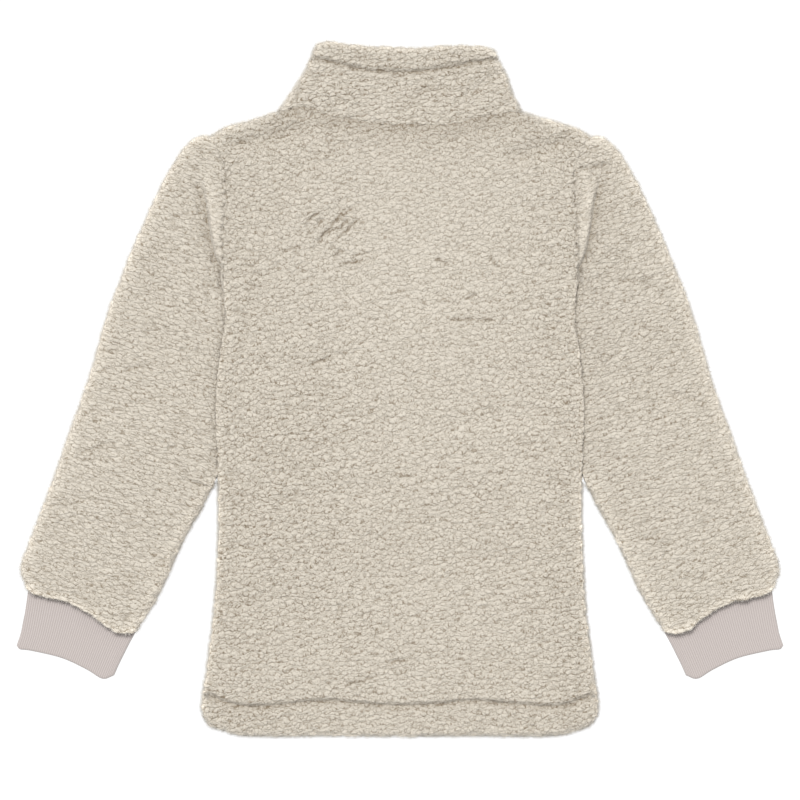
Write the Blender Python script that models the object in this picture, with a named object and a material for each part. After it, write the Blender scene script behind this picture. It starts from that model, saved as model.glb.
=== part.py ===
"""Sherpa zip fleece jacket, laid flat on its front with the back up.

The jacket lies on the XY plane, collar towards +Y, the wearer's left at -X.
Two layers of pile fabric lie on each other. The back, the upper walls of the
sleeves and the back of the collar are the upper layer. The two fronts, the
lower walls of the sleeves and the collar's front ends are the lower layer,
with the zip between them. Lengths in the tables are millimetres.
"""

import math

import bmesh
import bpy
import numpy as np

MM = 0.001

# Cloth: one layer of sherpa is its knitted ground with the curly pile on it
LAYER = 7.0
SEAM_GAP = 0.3
LOWER_TOP = LAYER
UPPER_BASE = LAYER + SEAM_GAP
UPPER_TOP = UPPER_BASE + LAYER
MIDDLE = 0.5 * (LOWER_TOP + UPPER_BASE)
EDGE_HALF = 1.2
TUBE_SLIT = 0.6
CREASE_GAP = 0.8
INNER_SET_IN = 0.035
FOLD_STEP = 0.3
SLEEVE_WIDTH = 130.0
SLEEVE_PUFF = 2.0
BODY_PUFF = 1.2

# Edge shapes: how far in from an edge the pile rounds off, and how far it drops
FREE_EDGE = {"reach": 8.0, "drop": LAYER + 0.5 * SEAM_GAP - EDGE_HALF}
PRESSED_EDGE = {"reach": 6.0, "drop": 4.6}
SEAM_EDGE = {"reach": 5.0, "drop": 3.2}
UNDER_EDGE = {"reach": 6.0, "drop": 4.4}

# Stitched lines pressed into the pile
HEM_STITCH = {"depth": 3.2, "spread": 3.4}
COLLAR_STITCH = {"depth": 2.8, "spread": 3.4}

# Outline of the body, right half: x from the middle, y up the jacket
BODY_SIDE = [
    (211.5, -357.0),
    (214.4, -342.0),
    (208.9, -301.0),
    (203.9, -263.0),
    (200.0, -222.0),
    (196.6, -150.0),
    (197.4, -85.0),
    (199.2, -15.0),
    (195.5, 31.0),
    (189.5, 75.0),
    (192.2, 117.2),
]
ARMHOLE = [
    (192.2, 117.2),
    (193.5, 150.0),
    (191.5, 190.0),
    (189.5, 220.0),
    (192.0, 245.0),
    (205.2, 272.7),
]
HEM = [
    (211.5, -357.0),
    (206.0, -364.8),
    (191.0, -370.0),
    (171.0, -375.0),
    (140.0, -376.4),
    (75.0, -375.6),
    (0.0, -376.4),
]
SHOULDER = [(205.2, 272.7), (190.0, 282.0), (160.0, 291.0), (131.8, 299.4)]
HEM_STITCH_LINE = [
    (207.0, -330.0),
    (184.0, -339.0),
    (157.7, -342.4),
    (121.0, -339.7),
    (78.0, -336.4),
    (40.0, -339.7),
    (0.0, -341.5),
]

# Seam of the collar to the back, and the collar's outline, from left to right
NECK_SEAM = [
    (-131.8, 299.4),
    (-103.0, 304.0),
    (-68.0, 293.5),
    (-20.0, 286.0),
    (30.0, 284.8),
    (62.0, 286.8),
    (98.0, 296.0),
    (131.8, 299.4),
]
COLLAR_LEFT = [
    (-131.8, 299.7),
    (-121.3, 316.0),
    (-104.5, 343.0),
    (-96.5, 360.0),
    (-91.0, 373.0),
]
COLLAR_TOP = [
    (-91.0, 373.0),
    (-80.0, 376.52),
    (-45.0, 372.0),
    (15.0, 369.4),
    (52.0, 372.2),
    (90.0, 370.7),
    (102.0, 366.5),
]
COLLAR_RIGHT = [
    (131.8, 299.7),
    (122.0, 321.0),
    (115.5, 340.0),
    (108.0, 354.0),
    (102.0, 366.5),
]
COLLAR_STITCH_LINE = [
    (-96.0, 358.7),
    (-69.0, 352.6),
    (-36.7, 344.8),
    (8.6, 342.6),
    (50.8, 347.8),
    (106.0, 357.5),
]

# Neckline and top edge of the collar at the front, from the zip to the fold
FRONT_NECK = [(10.0, 222.0), (45.0, 227.0), (90.0, 254.0), (131.8, 299.4)]
FRONT_COLLAR_TOP_DROP = [(0.0, 66.0), (0.4, 58.0), (0.75, 28.0), (1.0, 0.0)]

# Outline of the left sleeve
SLEEVE_OUTER = [
    (-205.5, 273.0),
    (-215.0, 272.9),
    (-224.6, 268.3),
    (-238.4, 254.3),
    (-257.7, 221.0),
    (-279.7, 173.3),
    (-301.8, 120.4),
    (-318.3, 75.0),
    (-337.5, 9.2),
    (-358.0, -48.0),
    (-375.8, -99.4),
    (-401.0, -166.0),
    (-410.5, -195.0),
    (-403.1, -216.5),
]
SLEEVE_INNER_FREE = [
    (-204.5, -110.0),
    (-214.9, -131.2),
    (-233.3, -163.6),
    (-248.4, -197.1),
    (-263.5, -228.4),
    (-285.5, -262.5),
]
SLEEVE_LEAVES_BODY_Y = -92.0
SLEEVE_END = [
    (-403.1, -216.5),
    (-388.0, -223.5),
    (-359.3, -229.7),
    (-334.5, -242.0),
    (-314.0, -257.5),
    (-300.0, -263.5),
    (-285.5, -262.5),
]

# Outline of the left cuff below the sleeve end
CUFF_OUTER = [(-402.6, -218.2), (-405.0, -236.0), (-409.5, -261.0), (-414.9, -278.0)]
CUFF_INNER = [(-286.5, -264.2), (-293.0, -276.0), (-304.0, -298.0), (-309.6, -310.5)]
CUFF_END = [
    (-414.9, -278.0),
    (-411.0, -282.2),
    (-399.0, -283.8),
    (-366.0, -291.7),
    (-339.4, -304.0),
    (-322.0, -314.0),
    (-309.6, -310.5),
]
CUFF_WIDTH = 112.0
CUFF_WALL = 2.6
CUFF_SLIT = 0.6
CUFF_GAP = 1.0
CUFF_HEIGHT = 2.0 * CUFF_WALL + CUFF_SLIT
CUFF_EDGE = {"reach": 3.0, "drop": 2.2}
RIB_COUNT = 50
RIB_DEPTH = 0.7

# Soft folds of the upper layer, left side as worn unless it says both.
# Columns: piece, side, x1, y1, x2, y2, height, spread
FOLDS = [
    ("sleeve", "both", -215.0, 216.0, -209.0, 180.0, -3.6, 6.0),
    ("sleeve", "both", -209.0, 180.0, -199.0, 140.0, -3.2, 6.0),
    ("sleeve", "both", -203.0, 225.0, -199.0, 175.0, 1.6, 6.0),
    ("sleeve", "both", -240.0, 215.0, -226.0, 150.0, 1.8, 14.0),
    ("sleeve", "both", -262.0, 165.0, -228.0, 128.0, -1.5, 9.0),
    ("sleeve", "both", -305.0, 98.0, -240.0, 112.0, -1.2, 9.0),
    ("sleeve", "both", -318.0, 40.0, -252.0, 62.0, -1.1, 10.0),
    ("sleeve", "both", -340.0, -25.0, -262.0, 5.0, -1.3, 10.0),
    ("sleeve", "both", -366.0, -95.0, -290.0, -62.0, -1.2, 10.0),
    ("sleeve", "both", -385.0, -160.0, -318.0, -142.0, -1.1, 9.0),
    ("back", "left", -112.0, 284.0, -172.0, 262.0, -2.4, 13.0),
    ("back", "right", 146.0, 266.0, 186.0, 243.0, -2.4, 13.0),
    ("back", "both", -178.0, 150.0, -183.0, -100.0, 1.4, 12.0),
    ("back", "both", -164.0, 90.0, -168.0, -60.0, -1.2, 10.0),
    ("back", "left", -97.0, 173.0, -59.0, 203.0, -1.3, 5.0),
    ("back", "left", -89.0, 152.0, -70.0, 187.0, -1.2, 5.0),
    ("back", "left", -150.0, 20.0, -60.0, 34.0, -1.1, 12.0),
    ("back", "right", 40.0, -40.0, 140.0, -28.0, -1.1, 13.0),
    ("back", "left", -120.0, -120.0, -10.0, -104.0, -1.2, 13.0),
    ("back", "right", 60.0, -180.0, 150.0, -190.0, -1.0, 13.0),
    ("back", "left", -160.0, -230.0, -70.0, -240.0, -1.0, 14.0),
    ("collar", "right", 70.0, 316.0, 110.0, 342.0, -1.6, 6.0),
    ("collar", "left", -104.0, 322.0, -40.0, 316.0, 1.2, 14.0),
]

# Zip: tape, half chain, slider and its pull tab, across the jacket and in depth
ZIP_EDGE = 10.0
TAPE = {"x0": 2.3, "x1": 9.7, "z0": 4.3, "z1": 5.3}
CHAIN = {"x0": 0.15, "x1": 2.3, "z0": 3.9, "z1": 5.7}
ZIP_Y0, ZIP_Y1 = -371.0, 293.8
SLIDER_Y0, SLIDER_Y1 = 286.0, 297.0
SLIDER_HALF = 4.0
OUTER_PLATE = (2.8, 3.6)
INNER_PLATE = (6.0, 6.7)
POST_HALF, POST_Y0 = 1.3, 294.1
CROWN_HALF, CROWN_Z = 0.9, (0.3, 1.1)
SUNK = 0.2
CROWN_Y0, CROWN_Y1, CROWN_LEG = 288.5, 294.5, 0.8
PIVOT_Y = 0.5 * (CROWN_Y0 + CROWN_Y1)
PIVOT_Z = 0.5 * (CROWN_Z[1] + OUTER_PLATE[0])
PIVOT_R, BAR_R, ARM_END = 0.55, 0.5, 0.2
TAB_HALF, TAB_LENGTH = 3.0, 24.0
EYE_HALF, EYE_LENGTH = 1.4, 3.9
TAB_TIP_HALF = 3.6

# Colours of the cloth and the fittings: base colour, roughness, metallic
FINISHES = {
    "sherpa_fleece": ((0.62, 0.55, 0.46), 0.95, 0.0),
    "rib_knit": ((0.56, 0.49, 0.45), 0.9, 0.0),
    "zip_tape": ((0.50, 0.44, 0.37), 0.85, 0.0),
    "zip_metal": ((0.55, 0.50, 0.44), 0.35, 0.9),
}


def clear_scene():
    for obj in list(bpy.data.objects):
        bpy.data.objects.remove(obj, do_unlink=True)


def finish(name):
    """A Principled material with the named finish."""
    material = bpy.data.materials.get(name)
    if material is None:
        colour, roughness, metallic = FINISHES[name]
        material = bpy.data.materials.new(name)
        material.use_nodes = True
        shader = material.node_tree.nodes["Principled BSDF"]
        shader.inputs["Base Color"].default_value = (*colour, 1.0)
        shader.inputs["Roughness"].default_value = roughness
        shader.inputs["Metallic"].default_value = metallic
        material.diffuse_color = (*colour, 1.0)
    return material


def mirrored(points):
    return [(-x, y) for x, y in points]


def joined(*curves):
    """One curve of points from several that meet end to end."""
    points = list(curves[0])
    for curve in curves[1:]:
        points += list(curve)[1:]
    return points


def smooth(points, steps=12):
    """A Catmull-Rom curve through the points, as a dense polyline."""
    p = np.array(points, float)
    ends = np.vstack([2 * p[0] - p[1], p, 2 * p[-1] - p[-2]])
    a, b, c, d = ends[:-3, None], ends[1:-2, None], ends[2:-1, None], ends[3:, None]
    t = (np.arange(steps) / steps)[None, :, None]
    cubic = 0.5 * (
        2 * b + (c - a) * t + (2 * a - 5 * b + 4 * c - d) * t**2 + (3 * b - a - 3 * c + d) * t**3
    )
    return np.vstack([cubic.reshape(-1, 2), p[-1:]])


def length_of(curve):
    return np.linalg.norm(np.diff(curve, axis=0), axis=1).sum()


def along(curve, s):
    """Points of a polyline at the fractions s of its length."""
    lengths = np.concatenate([[0.0], np.cumsum(np.linalg.norm(np.diff(curve, axis=0), axis=1))])
    at = np.asarray(s) * lengths[-1]
    return np.stack([np.interp(at, lengths, curve[:, k]) for k in (0, 1)], axis=-1)


def patch(bottom, top, left, right, us, vs):
    """A Coons patch: the grid between four edge curves, rows up and columns across."""
    u = np.asarray(us)[None, :, None]
    v = np.asarray(vs)[:, None, None]
    low, high = along(bottom, us)[None], along(top, us)[None]
    near, far = along(left, vs)[:, None], along(right, vs)[:, None]
    ruled = (1 - v) * low + v * high + (1 - u) * near + u * far
    corners = (1 - u) * (1 - v) * bottom[0] + u * (1 - v) * bottom[-1]
    corners = corners + (1 - u) * v * top[0] + u * v * top[-1]
    return ruled - corners


def distance_to(grid, curve):
    """Each grid point's distance to a polyline."""
    start, step = curve[:-1], np.diff(curve, axis=0)
    flat = grid.reshape(-1, 1, 2)
    t = ((flat - start) * step).sum(-1) / np.maximum((step**2).sum(-1), 1e-9)
    nearest = start + np.clip(t, 0, 1)[..., None] * step
    return np.linalg.norm(flat - nearest, axis=-1).min(axis=1).reshape(grid.shape[:-1])


def rounded(distance, edge):
    """How far the pile drops near an edge: a quarter ellipse of the edge's reach and drop."""
    inward = np.clip(1 - distance / edge["reach"], 0, 1)
    return edge["drop"] * (1 - np.sqrt(1 - inward**2))


def stitch_furrow(grid, line, stitch):
    """The furrow that a row of stitches presses into the pile."""
    return stitch["depth"] * np.exp(-((distance_to(grid, line) / stitch["spread"]) ** 2))


def folds_on(grid, piece):
    """Sum of the piece's folds, each a soft ridge or trough along a straight line."""
    height = np.zeros(grid.shape[:-1])
    left_half = np.stack([-np.abs(grid[..., 0]), grid[..., 1]], axis=-1)
    for name, where, x1, y1, x2, y2, rise, spread in FOLDS:
        if name == piece:
            line = np.array([(x1, y1), (x2, y2)])
            place = left_half if where == "both" else grid
            height += rise * np.exp(-((distance_to(place, line) / spread) ** 2))
    return height


def graded(near, count, far, length):
    """Fractions of a length: small steps at both ends, count equal steps between."""
    near, far = np.array(near) / length, np.array(far) / length
    middle = np.linspace(near[-1], 1 - far[-1], count + 1)
    return np.concatenate([near[:-1], middle, (1 - far[:-1])[::-1]])


def with_height(grid, z):
    return np.concatenate([grid, np.broadcast_to(z, grid.shape[:-1])[..., None]], axis=-1)


def make_object(name, vertices, faces, material):
    mesh = bpy.data.meshes.new(name)
    mesh.from_pydata((np.asarray(vertices) * MM).tolist(), [], faces)
    work = bmesh.new()
    work.from_mesh(mesh)
    bmesh.ops.recalc_face_normals(work, faces=work.faces)
    if work.calc_volume(signed=True) < 0:
        bmesh.ops.reverse_faces(work, faces=work.faces)
    work.to_mesh(mesh)
    work.free()
    mesh.shade_smooth()
    mesh.set_sharp_from_angle(angle=math.radians(50))
    obj = bpy.data.objects.new(name, mesh)
    obj.data.materials.append(finish(material))
    bpy.context.scene.collection.objects.link(obj)
    return obj


def grid_faces(rows, columns, first=0, closed=False):
    last = columns if closed else columns - 1
    return [
        (
            first + r * columns + c,
            first + r * columns + (c + 1) % columns,
            first + (r + 1) * columns + (c + 1) % columns,
            first + (r + 1) * columns + c,
        )
        for r in range(rows - 1)
        for c in range(last)
    ]


def panel(name, outer, inner_z, material):
    """A cut panel: its outer face as a grid, its plain inner face flat at one height."""
    rows, columns = outer.shape[:2]
    index = np.arange(rows * columns).reshape(rows, columns)
    rim = np.concatenate([index[0, :-1], index[:-1, -1], index[-1, :0:-1], index[:0:-1, 0]])
    vertices = outer.reshape(-1, 3)
    plain = vertices[rim].copy()
    plain[:, 2] = inner_z
    base = rows * columns
    count = len(rim)
    faces = grid_faces(rows, columns)
    for k in range(count):
        n = (k + 1) % count
        faces.append((int(rim[k]), int(rim[n]), base + n, base + k))
    faces.append(tuple(base + k for k in range(count)))
    return make_object(name, np.vstack([vertices, plain]), faces, material)


def tube(name, outer, inner, material):
    """A flattened tube of cloth: rings of an outer and an inner face, joined at both ends."""
    rows, columns = outer.shape[:2]
    base = rows * columns
    faces = grid_faces(rows, columns, closed=True)
    faces += grid_faces(inner.shape[0], columns, base, closed=True)
    for start, first in ((0, base), (base - columns, base + (inner.shape[0] - 1) * columns)):
        for c in range(columns):
            n = (c + 1) % columns
            faces.append((start + c, start + n, first + n, first + c))
    vertices = np.vstack([outer.reshape(-1, 3), inner.reshape(-1, 3)])
    return make_object(name, vertices, faces, material)


def strip(name, outer, inner, material):
    """A folded strip of cloth: an outer and an inner face, joined round all four edges."""
    rows, columns = outer.shape[:2]
    base = rows * columns
    index = np.arange(base).reshape(rows, columns)
    rim = np.concatenate([index[0, :-1], index[:-1, -1], index[-1, :0:-1], index[:0:-1, 0]])
    faces = grid_faces(rows, columns) + grid_faces(rows, columns, base)
    for k in range(len(rim)):
        a, b = int(rim[k]), int(rim[(k + 1) % len(rim)])
        faces.append((a, b, base + b, base + a))
    vertices = np.vstack([outer.reshape(-1, 3), inner.reshape(-1, 3)])
    return make_object(name, vertices, faces, material)


SIDE_CURVE = smooth(BODY_SIDE)
ARMHOLE_CURVE = smooth(ARMHOLE)
EDGE_STEPS = (0.0, 1.0, 3.0, 6.5)
SLEEVE_COLUMNS = graded(EDGE_STEPS, 13, EDGE_STEPS, length_of(ARMHOLE_CURVE))
SLEEVE_UNDER_COLUMNS = graded((0.0, 2.5, 7.0), 7, (0.0, 2.5, 7.0), length_of(ARMHOLE_CURVE))
NECK_COLUMNS = graded(EDGE_STEPS, 20, EDGE_STEPS, length_of(smooth(NECK_SEAM)))
FRONT_NECK_COLUMNS = graded((0.0, 4.0), 8, EDGE_STEPS, length_of(smooth(FRONT_NECK)))


def body_rows(armhole_columns, hem_steps, count):
    """Rows up the body's side: small steps at the hem, then level ones, then the armhole's."""
    side, whole = length_of(SIDE_CURVE), length_of(SIDE_CURVE) + length_of(ARMHOLE_CURVE)
    low = np.array(hem_steps)
    level = np.linspace(low[-1], side, count + 1)[1:]
    armhole = side + (1 - armhole_columns[::-1])[1:] * length_of(ARMHOLE_CURVE)
    top = whole - np.array(EDGE_STEPS[:0:-1])
    armhole = armhole[armhole < top[0] - 2.0]
    return np.concatenate([low, level, armhole, top, [whole]]) / whole


def across_shoulders(shoulder, neck, neck_columns):
    """Columns across the top: a shoulder, the neck seam's own columns, the other shoulder."""
    slope, seam = length_of(shoulder), length_of(neck)
    low = np.concatenate([EDGE_STEPS, np.linspace(EDGE_STEPS[-1], slope, 6)[1:-1]])
    whole = 2 * slope + seam
    return np.concatenate([low, slope + neck_columns * seam, (whole - low)[::-1]]) / whole


def billow(grid):
    """A slow unevenness of the laid cloth, two crossed waves."""
    x, y = grid[..., 0], grid[..., 1]
    return 0.5 * np.sin(x / 31.0 + y / 57.0) + 0.4 * np.sin(y / 26.0 - x / 74.0)


def edge_drop(grid, edges):
    """The deepest of the drops that the edges near a point give it."""
    return np.maximum.reduce([rounded(distance_to(grid, curve), edge) for curve, edge in edges])


def build_back():
    side = joined(BODY_SIDE, ARMHOLE)
    right, left = smooth(side), smooth(mirrored(side))
    hem = smooth(mirrored(HEM) + HEM[-2::-1])
    shoulder, neck = smooth(SHOULDER), smooth(NECK_SEAM)
    other_shoulder = smooth(mirrored(SHOULDER))
    top = np.vstack([other_shoulder, neck[1:-1], shoulder[::-1]])
    columns = across_shoulders(shoulder, neck, NECK_COLUMNS)
    rows = body_rows(SLEEVE_COLUMNS, (0.0, 1.0, 3.0, 6.5, 13.0, 20.0, 26.0, 31.0, 36.0, 43.0), 24)
    grid = patch(hem, top, left, right, columns, rows)
    edges = [(hem, FREE_EDGE), (shoulder, FREE_EDGE), (other_shoulder, FREE_EDGE)]
    edges += [(smooth(BODY_SIDE), PRESSED_EDGE), (smooth(mirrored(BODY_SIDE)), PRESSED_EDGE)]
    edges += [(smooth(ARMHOLE), SEAM_EDGE), (smooth(mirrored(ARMHOLE)), SEAM_EDGE)]
    edges += [(neck, SEAM_EDGE)]
    inward = np.minimum.reduce([distance_to(grid, curve) for curve, _ in edges])
    away = np.clip(inward / 40.0, 0, 1)
    stitches = smooth(mirrored(HEM_STITCH_LINE) + HEM_STITCH_LINE[-2::-1])
    z = UPPER_TOP + (BODY_PUFF + billow(grid)) * away + folds_on(grid, "back") * away**0.5
    z -= np.maximum(edge_drop(grid, edges), stitch_furrow(grid, stitches, HEM_STITCH))
    panel("back", with_height(grid, z), UPPER_BASE, "sherpa_fleece")


def build_fronts():
    """The two fronts, each a mirror of the other, from the zip to the side seam."""
    right = smooth(joined(BODY_SIDE, ARMHOLE))
    hem = smooth([(ZIP_EDGE, -376.4)] + HEM[-2::-1])
    neckline = smooth(FRONT_NECK)
    shoulder = smooth(SHOULDER[::-1])
    top = np.vstack([neckline, shoulder[1:]])
    zip_edge = np.array([hem[0], top[0]])
    seam, slope = length_of(neckline), length_of(shoulder)
    sloped = np.array([slope - step for step in EDGE_STEPS[::-1]])
    columns = np.concatenate([FRONT_NECK_COLUMNS * seam, seam + sloped]) / (seam + slope)
    rows = body_rows(SLEEVE_UNDER_COLUMNS, (0.0, 2.0, 6.5), 14)
    grid = patch(hem, top, zip_edge, right, columns, rows)
    edges = [(right, UNDER_EDGE), (hem, UNDER_EDGE), (shoulder, UNDER_EDGE)]
    edges += [(zip_edge, SEAM_EDGE)]
    z = edge_drop(grid, edges)
    for name, sign in (("front_right", 1), ("front_left", -1)):
        outer = with_height(grid * (sign, 1), z)
        panel(name, outer, LOWER_TOP, "sherpa_fleece")


def ring_of(upper, lower):
    """Closed rings from the upper columns, left to right, and the lower ones back."""
    return np.concatenate([upper, lower[:, ::-1]], axis=1)


def build_sleeves():
    body = smooth(BODY_SIDE)
    armhole = smooth(ARMHOLE)
    beside = body[(body[:, 1] > SLEEVE_LEAVES_BODY_Y)][::-1] * (-1, 1) - (CREASE_GAP, 0.0)
    top = (armhole[::-1] * (-1, 1)) - (SEAM_GAP, 0.0)
    beside[0] = top[-1]
    inner_edge = np.vstack([beside, smooth(SLEEVE_INNER_FREE)])[::-1]
    outer_edge = smooth(SLEEVE_OUTER)[::-1]
    outer_edge[-1] = top[0]
    end = smooth(SLEEVE_END)
    end[0], end[-1] = outer_edge[0], inner_edge[0]
    rows = 1 - graded(EDGE_STEPS, 22, EDGE_STEPS, 460.0)[::-1]
    upper = patch(end, top, outer_edge, inner_edge, SLEEVE_COLUMNS, rows)
    lower = patch(end, top, outer_edge, inner_edge, SLEEVE_UNDER_COLUMNS, rows)
    edges = [(outer_edge, FREE_EDGE), (smooth(SLEEVE_INNER_FREE), FREE_EDGE)]
    edges += [(beside, PRESSED_EDGE), (top, SEAM_EDGE), (end, SEAM_EDGE)]
    across = np.sin(np.pi * SLEEVE_COLUMNS)[None]
    along_rows = np.sin(np.pi * np.clip(rows * 1.2, 0, 1) ** 0.7)[:, None]
    inward = np.minimum.reduce([distance_to(upper, curve) for curve, _ in edges])
    away = np.clip(inward / 30.0, 0, 1)
    puff = SLEEVE_PUFF * across * along_rows
    z = UPPER_TOP + puff + billow(upper) * away + folds_on(upper, "sleeve") * away**0.3
    z -= edge_drop(upper, edges)
    under = [(outer_edge, UNDER_EDGE), (smooth(SLEEVE_INNER_FREE), UNDER_EDGE)]
    outer = ring_of(with_height(upper, z), with_height(lower, edge_drop(lower, under)))
    wall = LAYER / SLEEVE_WIDTH
    slit_rows = np.linspace(0.2 * INNER_SET_IN, 1 - 0.2 * INNER_SET_IN, 9)
    upper_slit, lower_slit = (
        patch(end, top, outer_edge, inner_edge, wall + (1 - 2 * wall) * columns, slit_rows)
        for columns in (SLEEVE_COLUMNS, SLEEVE_UNDER_COLUMNS)
    )
    lift = 0.8 * SLEEVE_PUFF * across * np.sin(np.pi * slit_rows)[:, None]
    slit = 0.5 * TUBE_SLIT
    inner = ring_of(
        with_height(upper_slit, MIDDLE + slit + lift), with_height(lower_slit, MIDDLE - slit)
    )
    for name, sign in (("sleeve_left", 1), ("sleeve_right", -1)):
        tube(name, outer * (sign, 1, 1), inner * (sign, 1, 1), "sherpa_fleece")


def build_cuffs():
    end = smooth(SLEEVE_END)
    top = end[(end[:, 0] > CUFF_OUTER[0][0]) & (end[:, 0] < CUFF_INNER[0][0])] - (0.0, CUFF_GAP)
    outer_edge, inner_edge = smooth(CUFF_OUTER)[::-1], smooth(CUFF_INNER)[::-1]
    top[0], top[-1] = outer_edge[-1], inner_edge[-1]
    bottom = smooth(CUFF_END)
    columns = np.linspace(0, 1, 2 * RIB_COUNT + 1)
    rows = np.array([0.0, 0.04, 0.12, 0.55, 1.0])
    under_columns = np.linspace(0, 1, 9)
    upper = patch(bottom, top, outer_edge, inner_edge, columns, rows)
    lower = patch(bottom, top, outer_edge, inner_edge, under_columns, rows)
    edges = [(outer_edge, CUFF_EDGE), (inner_edge, CUFF_EDGE), (bottom, CUFF_EDGE)]
    grooves = RIB_DEPTH * (np.arange(2 * RIB_COUNT + 1) % 2 == 0)[None] * (rows > 0.02)[:, None]
    z = CUFF_HEIGHT - np.maximum(edge_drop(upper, edges), grooves)
    under = 0.5 * edge_drop(lower, edges)
    outer = ring_of(with_height(upper, z), with_height(lower, under))
    wall = CUFF_WALL / CUFF_WIDTH
    upper_slit, lower_slit = (
        patch(bottom, top, outer_edge, inner_edge, wall + (1 - 2 * wall) * share, (0.0, 1.0))
        for share in (columns, under_columns)
    )
    inner = ring_of(
        with_height(upper_slit, CUFF_WALL + CUFF_SLIT), with_height(lower_slit, CUFF_WALL)
    )
    for name, sign in (("cuff_left", 1), ("cuff_right", -1)):
        tube(name, outer * (sign, 1, 1), inner * (sign, 1, 1), "rib_knit")


def build_collar():
    """The collar, one strip that folds at both sides and ends at the zip on the underside."""
    neck = smooth(NECK_SEAM) + (0.0, SEAM_GAP)
    left, right, top = smooth(COLLAR_LEFT), smooth(COLLAR_RIGHT), smooth(COLLAR_TOP)
    left[0], right[0] = neck[0], neck[-1]
    rows = graded(EDGE_STEPS, 5, (0.0, 1.0, 4.0, 8.0, 11.5, 15.0, 19.0), 82.0)
    back_columns = NECK_COLUMNS
    back = patch(neck, top, left, right, back_columns, rows)
    stitches = smooth(COLLAR_STITCH_LINE)
    edges = [(left, FREE_EDGE), (right, FREE_EDGE), (top, FREE_EDGE), (neck, SEAM_EDGE)]
    z = UPPER_TOP + folds_on(back, "collar")
    z -= np.maximum(edge_drop(back, edges), stitch_furrow(back, stitches, COLLAR_STITCH))
    wall = LAYER / 220.0
    set_in = np.clip(rows, INNER_SET_IN, 1 - INNER_SET_IN)
    inside_back = patch(neck, top, left, right, wall + (1 - 2 * wall) * back_columns, set_in)
    outer = [
        with_height(back[:, :1], MIDDLE - FOLD_STEP),
        with_height(back, z),
        with_height(back[:, -1:], MIDDLE - FOLD_STEP),
    ]
    inner = [
        with_height(inside_back[:, :1], MIDDLE),
        with_height(inside_back, UPPER_BASE),
        with_height(inside_back[:, -1:], MIDDLE),
    ]
    front_columns = FRONT_NECK_COLUMNS
    for side_curve, sign in ((left, -1), (right, 1)):
        seam = smooth(FRONT_NECK) * (sign, 1) + (0.0, SEAM_GAP)
        side_curve[0] = seam[-1]
        share = np.linspace(0, 1, 25)
        drop = np.interp(share, *np.array(FRONT_COLLAR_TOP_DROP).T)
        brim = np.stack([
            sign * ZIP_EDGE + share * (side_curve[-1, 0] - sign * ZIP_EDGE),
            side_curve[-1, 1] - drop,
        ], axis=-1)
        zip_edge = np.array([seam[0], brim[0]])
        front = patch(seam, brim, zip_edge, side_curve, front_columns, rows)
        under = [(side_curve, UNDER_EDGE), (brim, UNDER_EDGE), (zip_edge, SEAM_EDGE)]
        low = with_height(front, edge_drop(front, under))
        inside = patch(seam, brim, zip_edge, side_curve, front_columns * (1 - 2 * wall), set_in)
        flat = with_height(inside, LOWER_TOP)
        if sign < 0:
            outer.insert(0, low)
            inner.insert(0, flat)
        else:
            outer.append(low[:, ::-1])
            inner.append(flat[:, ::-1])
    strip("collar", np.concatenate(outer, axis=1), np.concatenate(inner, axis=1), "sherpa_fleece")


def prism(name, outline, start, end, material):
    """A solid with one outline across the jacket (x, z), carried along it from start to end."""
    count = len(outline)
    vertices = [(x, y, z) for y in (start, end) for x, z in outline]
    faces = [tuple(range(count)), tuple(range(2 * count - 1, count - 1, -1))]
    faces += [(k, (k + 1) % count, count + (k + 1) % count, count + k) for k in range(count)]
    return make_object(name, vertices, faces, material)


def box_outline(x0, x1, z0, z1):
    return [(x0, z0), (x1, z0), (x1, z1), (x0, z1)]


def united(pieces):
    """The first piece, with the others joined on."""
    body = pieces[0]
    for piece in pieces[1:]:
        union = body.modifiers.new(piece.name, "BOOLEAN")
        union.operation = "UNION"
        union.object = piece
        piece.hide_render = True
        piece.display_type = "WIRE"
    return body


def build_zip_sides():
    """Each half of the zip: a tape with its half chain along the inner edge."""
    t, c = TAPE, CHAIN
    section = [
        (c["x0"], c["z0"]),
        (c["x1"], c["z0"]),
        (c["x1"], t["z0"]),
        (t["x1"], t["z0"]),
        (t["x1"], t["z1"]),
        (c["x1"], t["z1"]),
        (c["x1"], c["z1"]),
        (c["x0"], c["z1"]),
    ]
    for name, sign in (("zip_right", 1), ("zip_left", -1)):
        outline = [(sign * x, z) for x, z in section]
        prism(name, outline, ZIP_Y0, ZIP_Y1, "zip_tape")


def build_slider():
    """The slider: two plates on a post, with a crown over the outer plate for the tab."""
    middle, inside = OUTER_PLATE[0] + SUNK, INNER_PLATE[1] - SUNK
    plate = box_outline(-SLIDER_HALF, SLIDER_HALF, *OUTER_PLATE)
    inner_plate = box_outline(-SLIDER_HALF, SLIDER_HALF, *INNER_PLATE)
    post = box_outline(-POST_HALF, POST_HALF, middle, inside)
    crown = box_outline(-CROWN_HALF, CROWN_HALF, *CROWN_Z)
    leg_half = CROWN_HALF - 0.25 * SUNK
    leg = box_outline(-leg_half, leg_half, CROWN_Z[0] + SUNK, middle)
    low_leg = CROWN_Y0 + 0.25 * SUNK
    high_leg = CROWN_Y1 - 0.25 * SUNK - CROWN_LEG
    parts = [
        ("slider", plate, SLIDER_Y0, SLIDER_Y1),
        ("slider_inner_plate", inner_plate, SLIDER_Y0, SLIDER_Y1),
        ("slider_post", post, POST_Y0, SLIDER_Y1 - SUNK),
        ("slider_crown", crown, CROWN_Y0, CROWN_Y1),
        ("slider_low_leg", leg, low_leg, low_leg + CROWN_LEG),
        ("slider_high_leg", leg, high_leg, high_leg + CROWN_LEG),
    ]
    united([prism(name, outline, y0, y1, "zip_metal") for name, outline, y0, y1 in parts])


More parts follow.
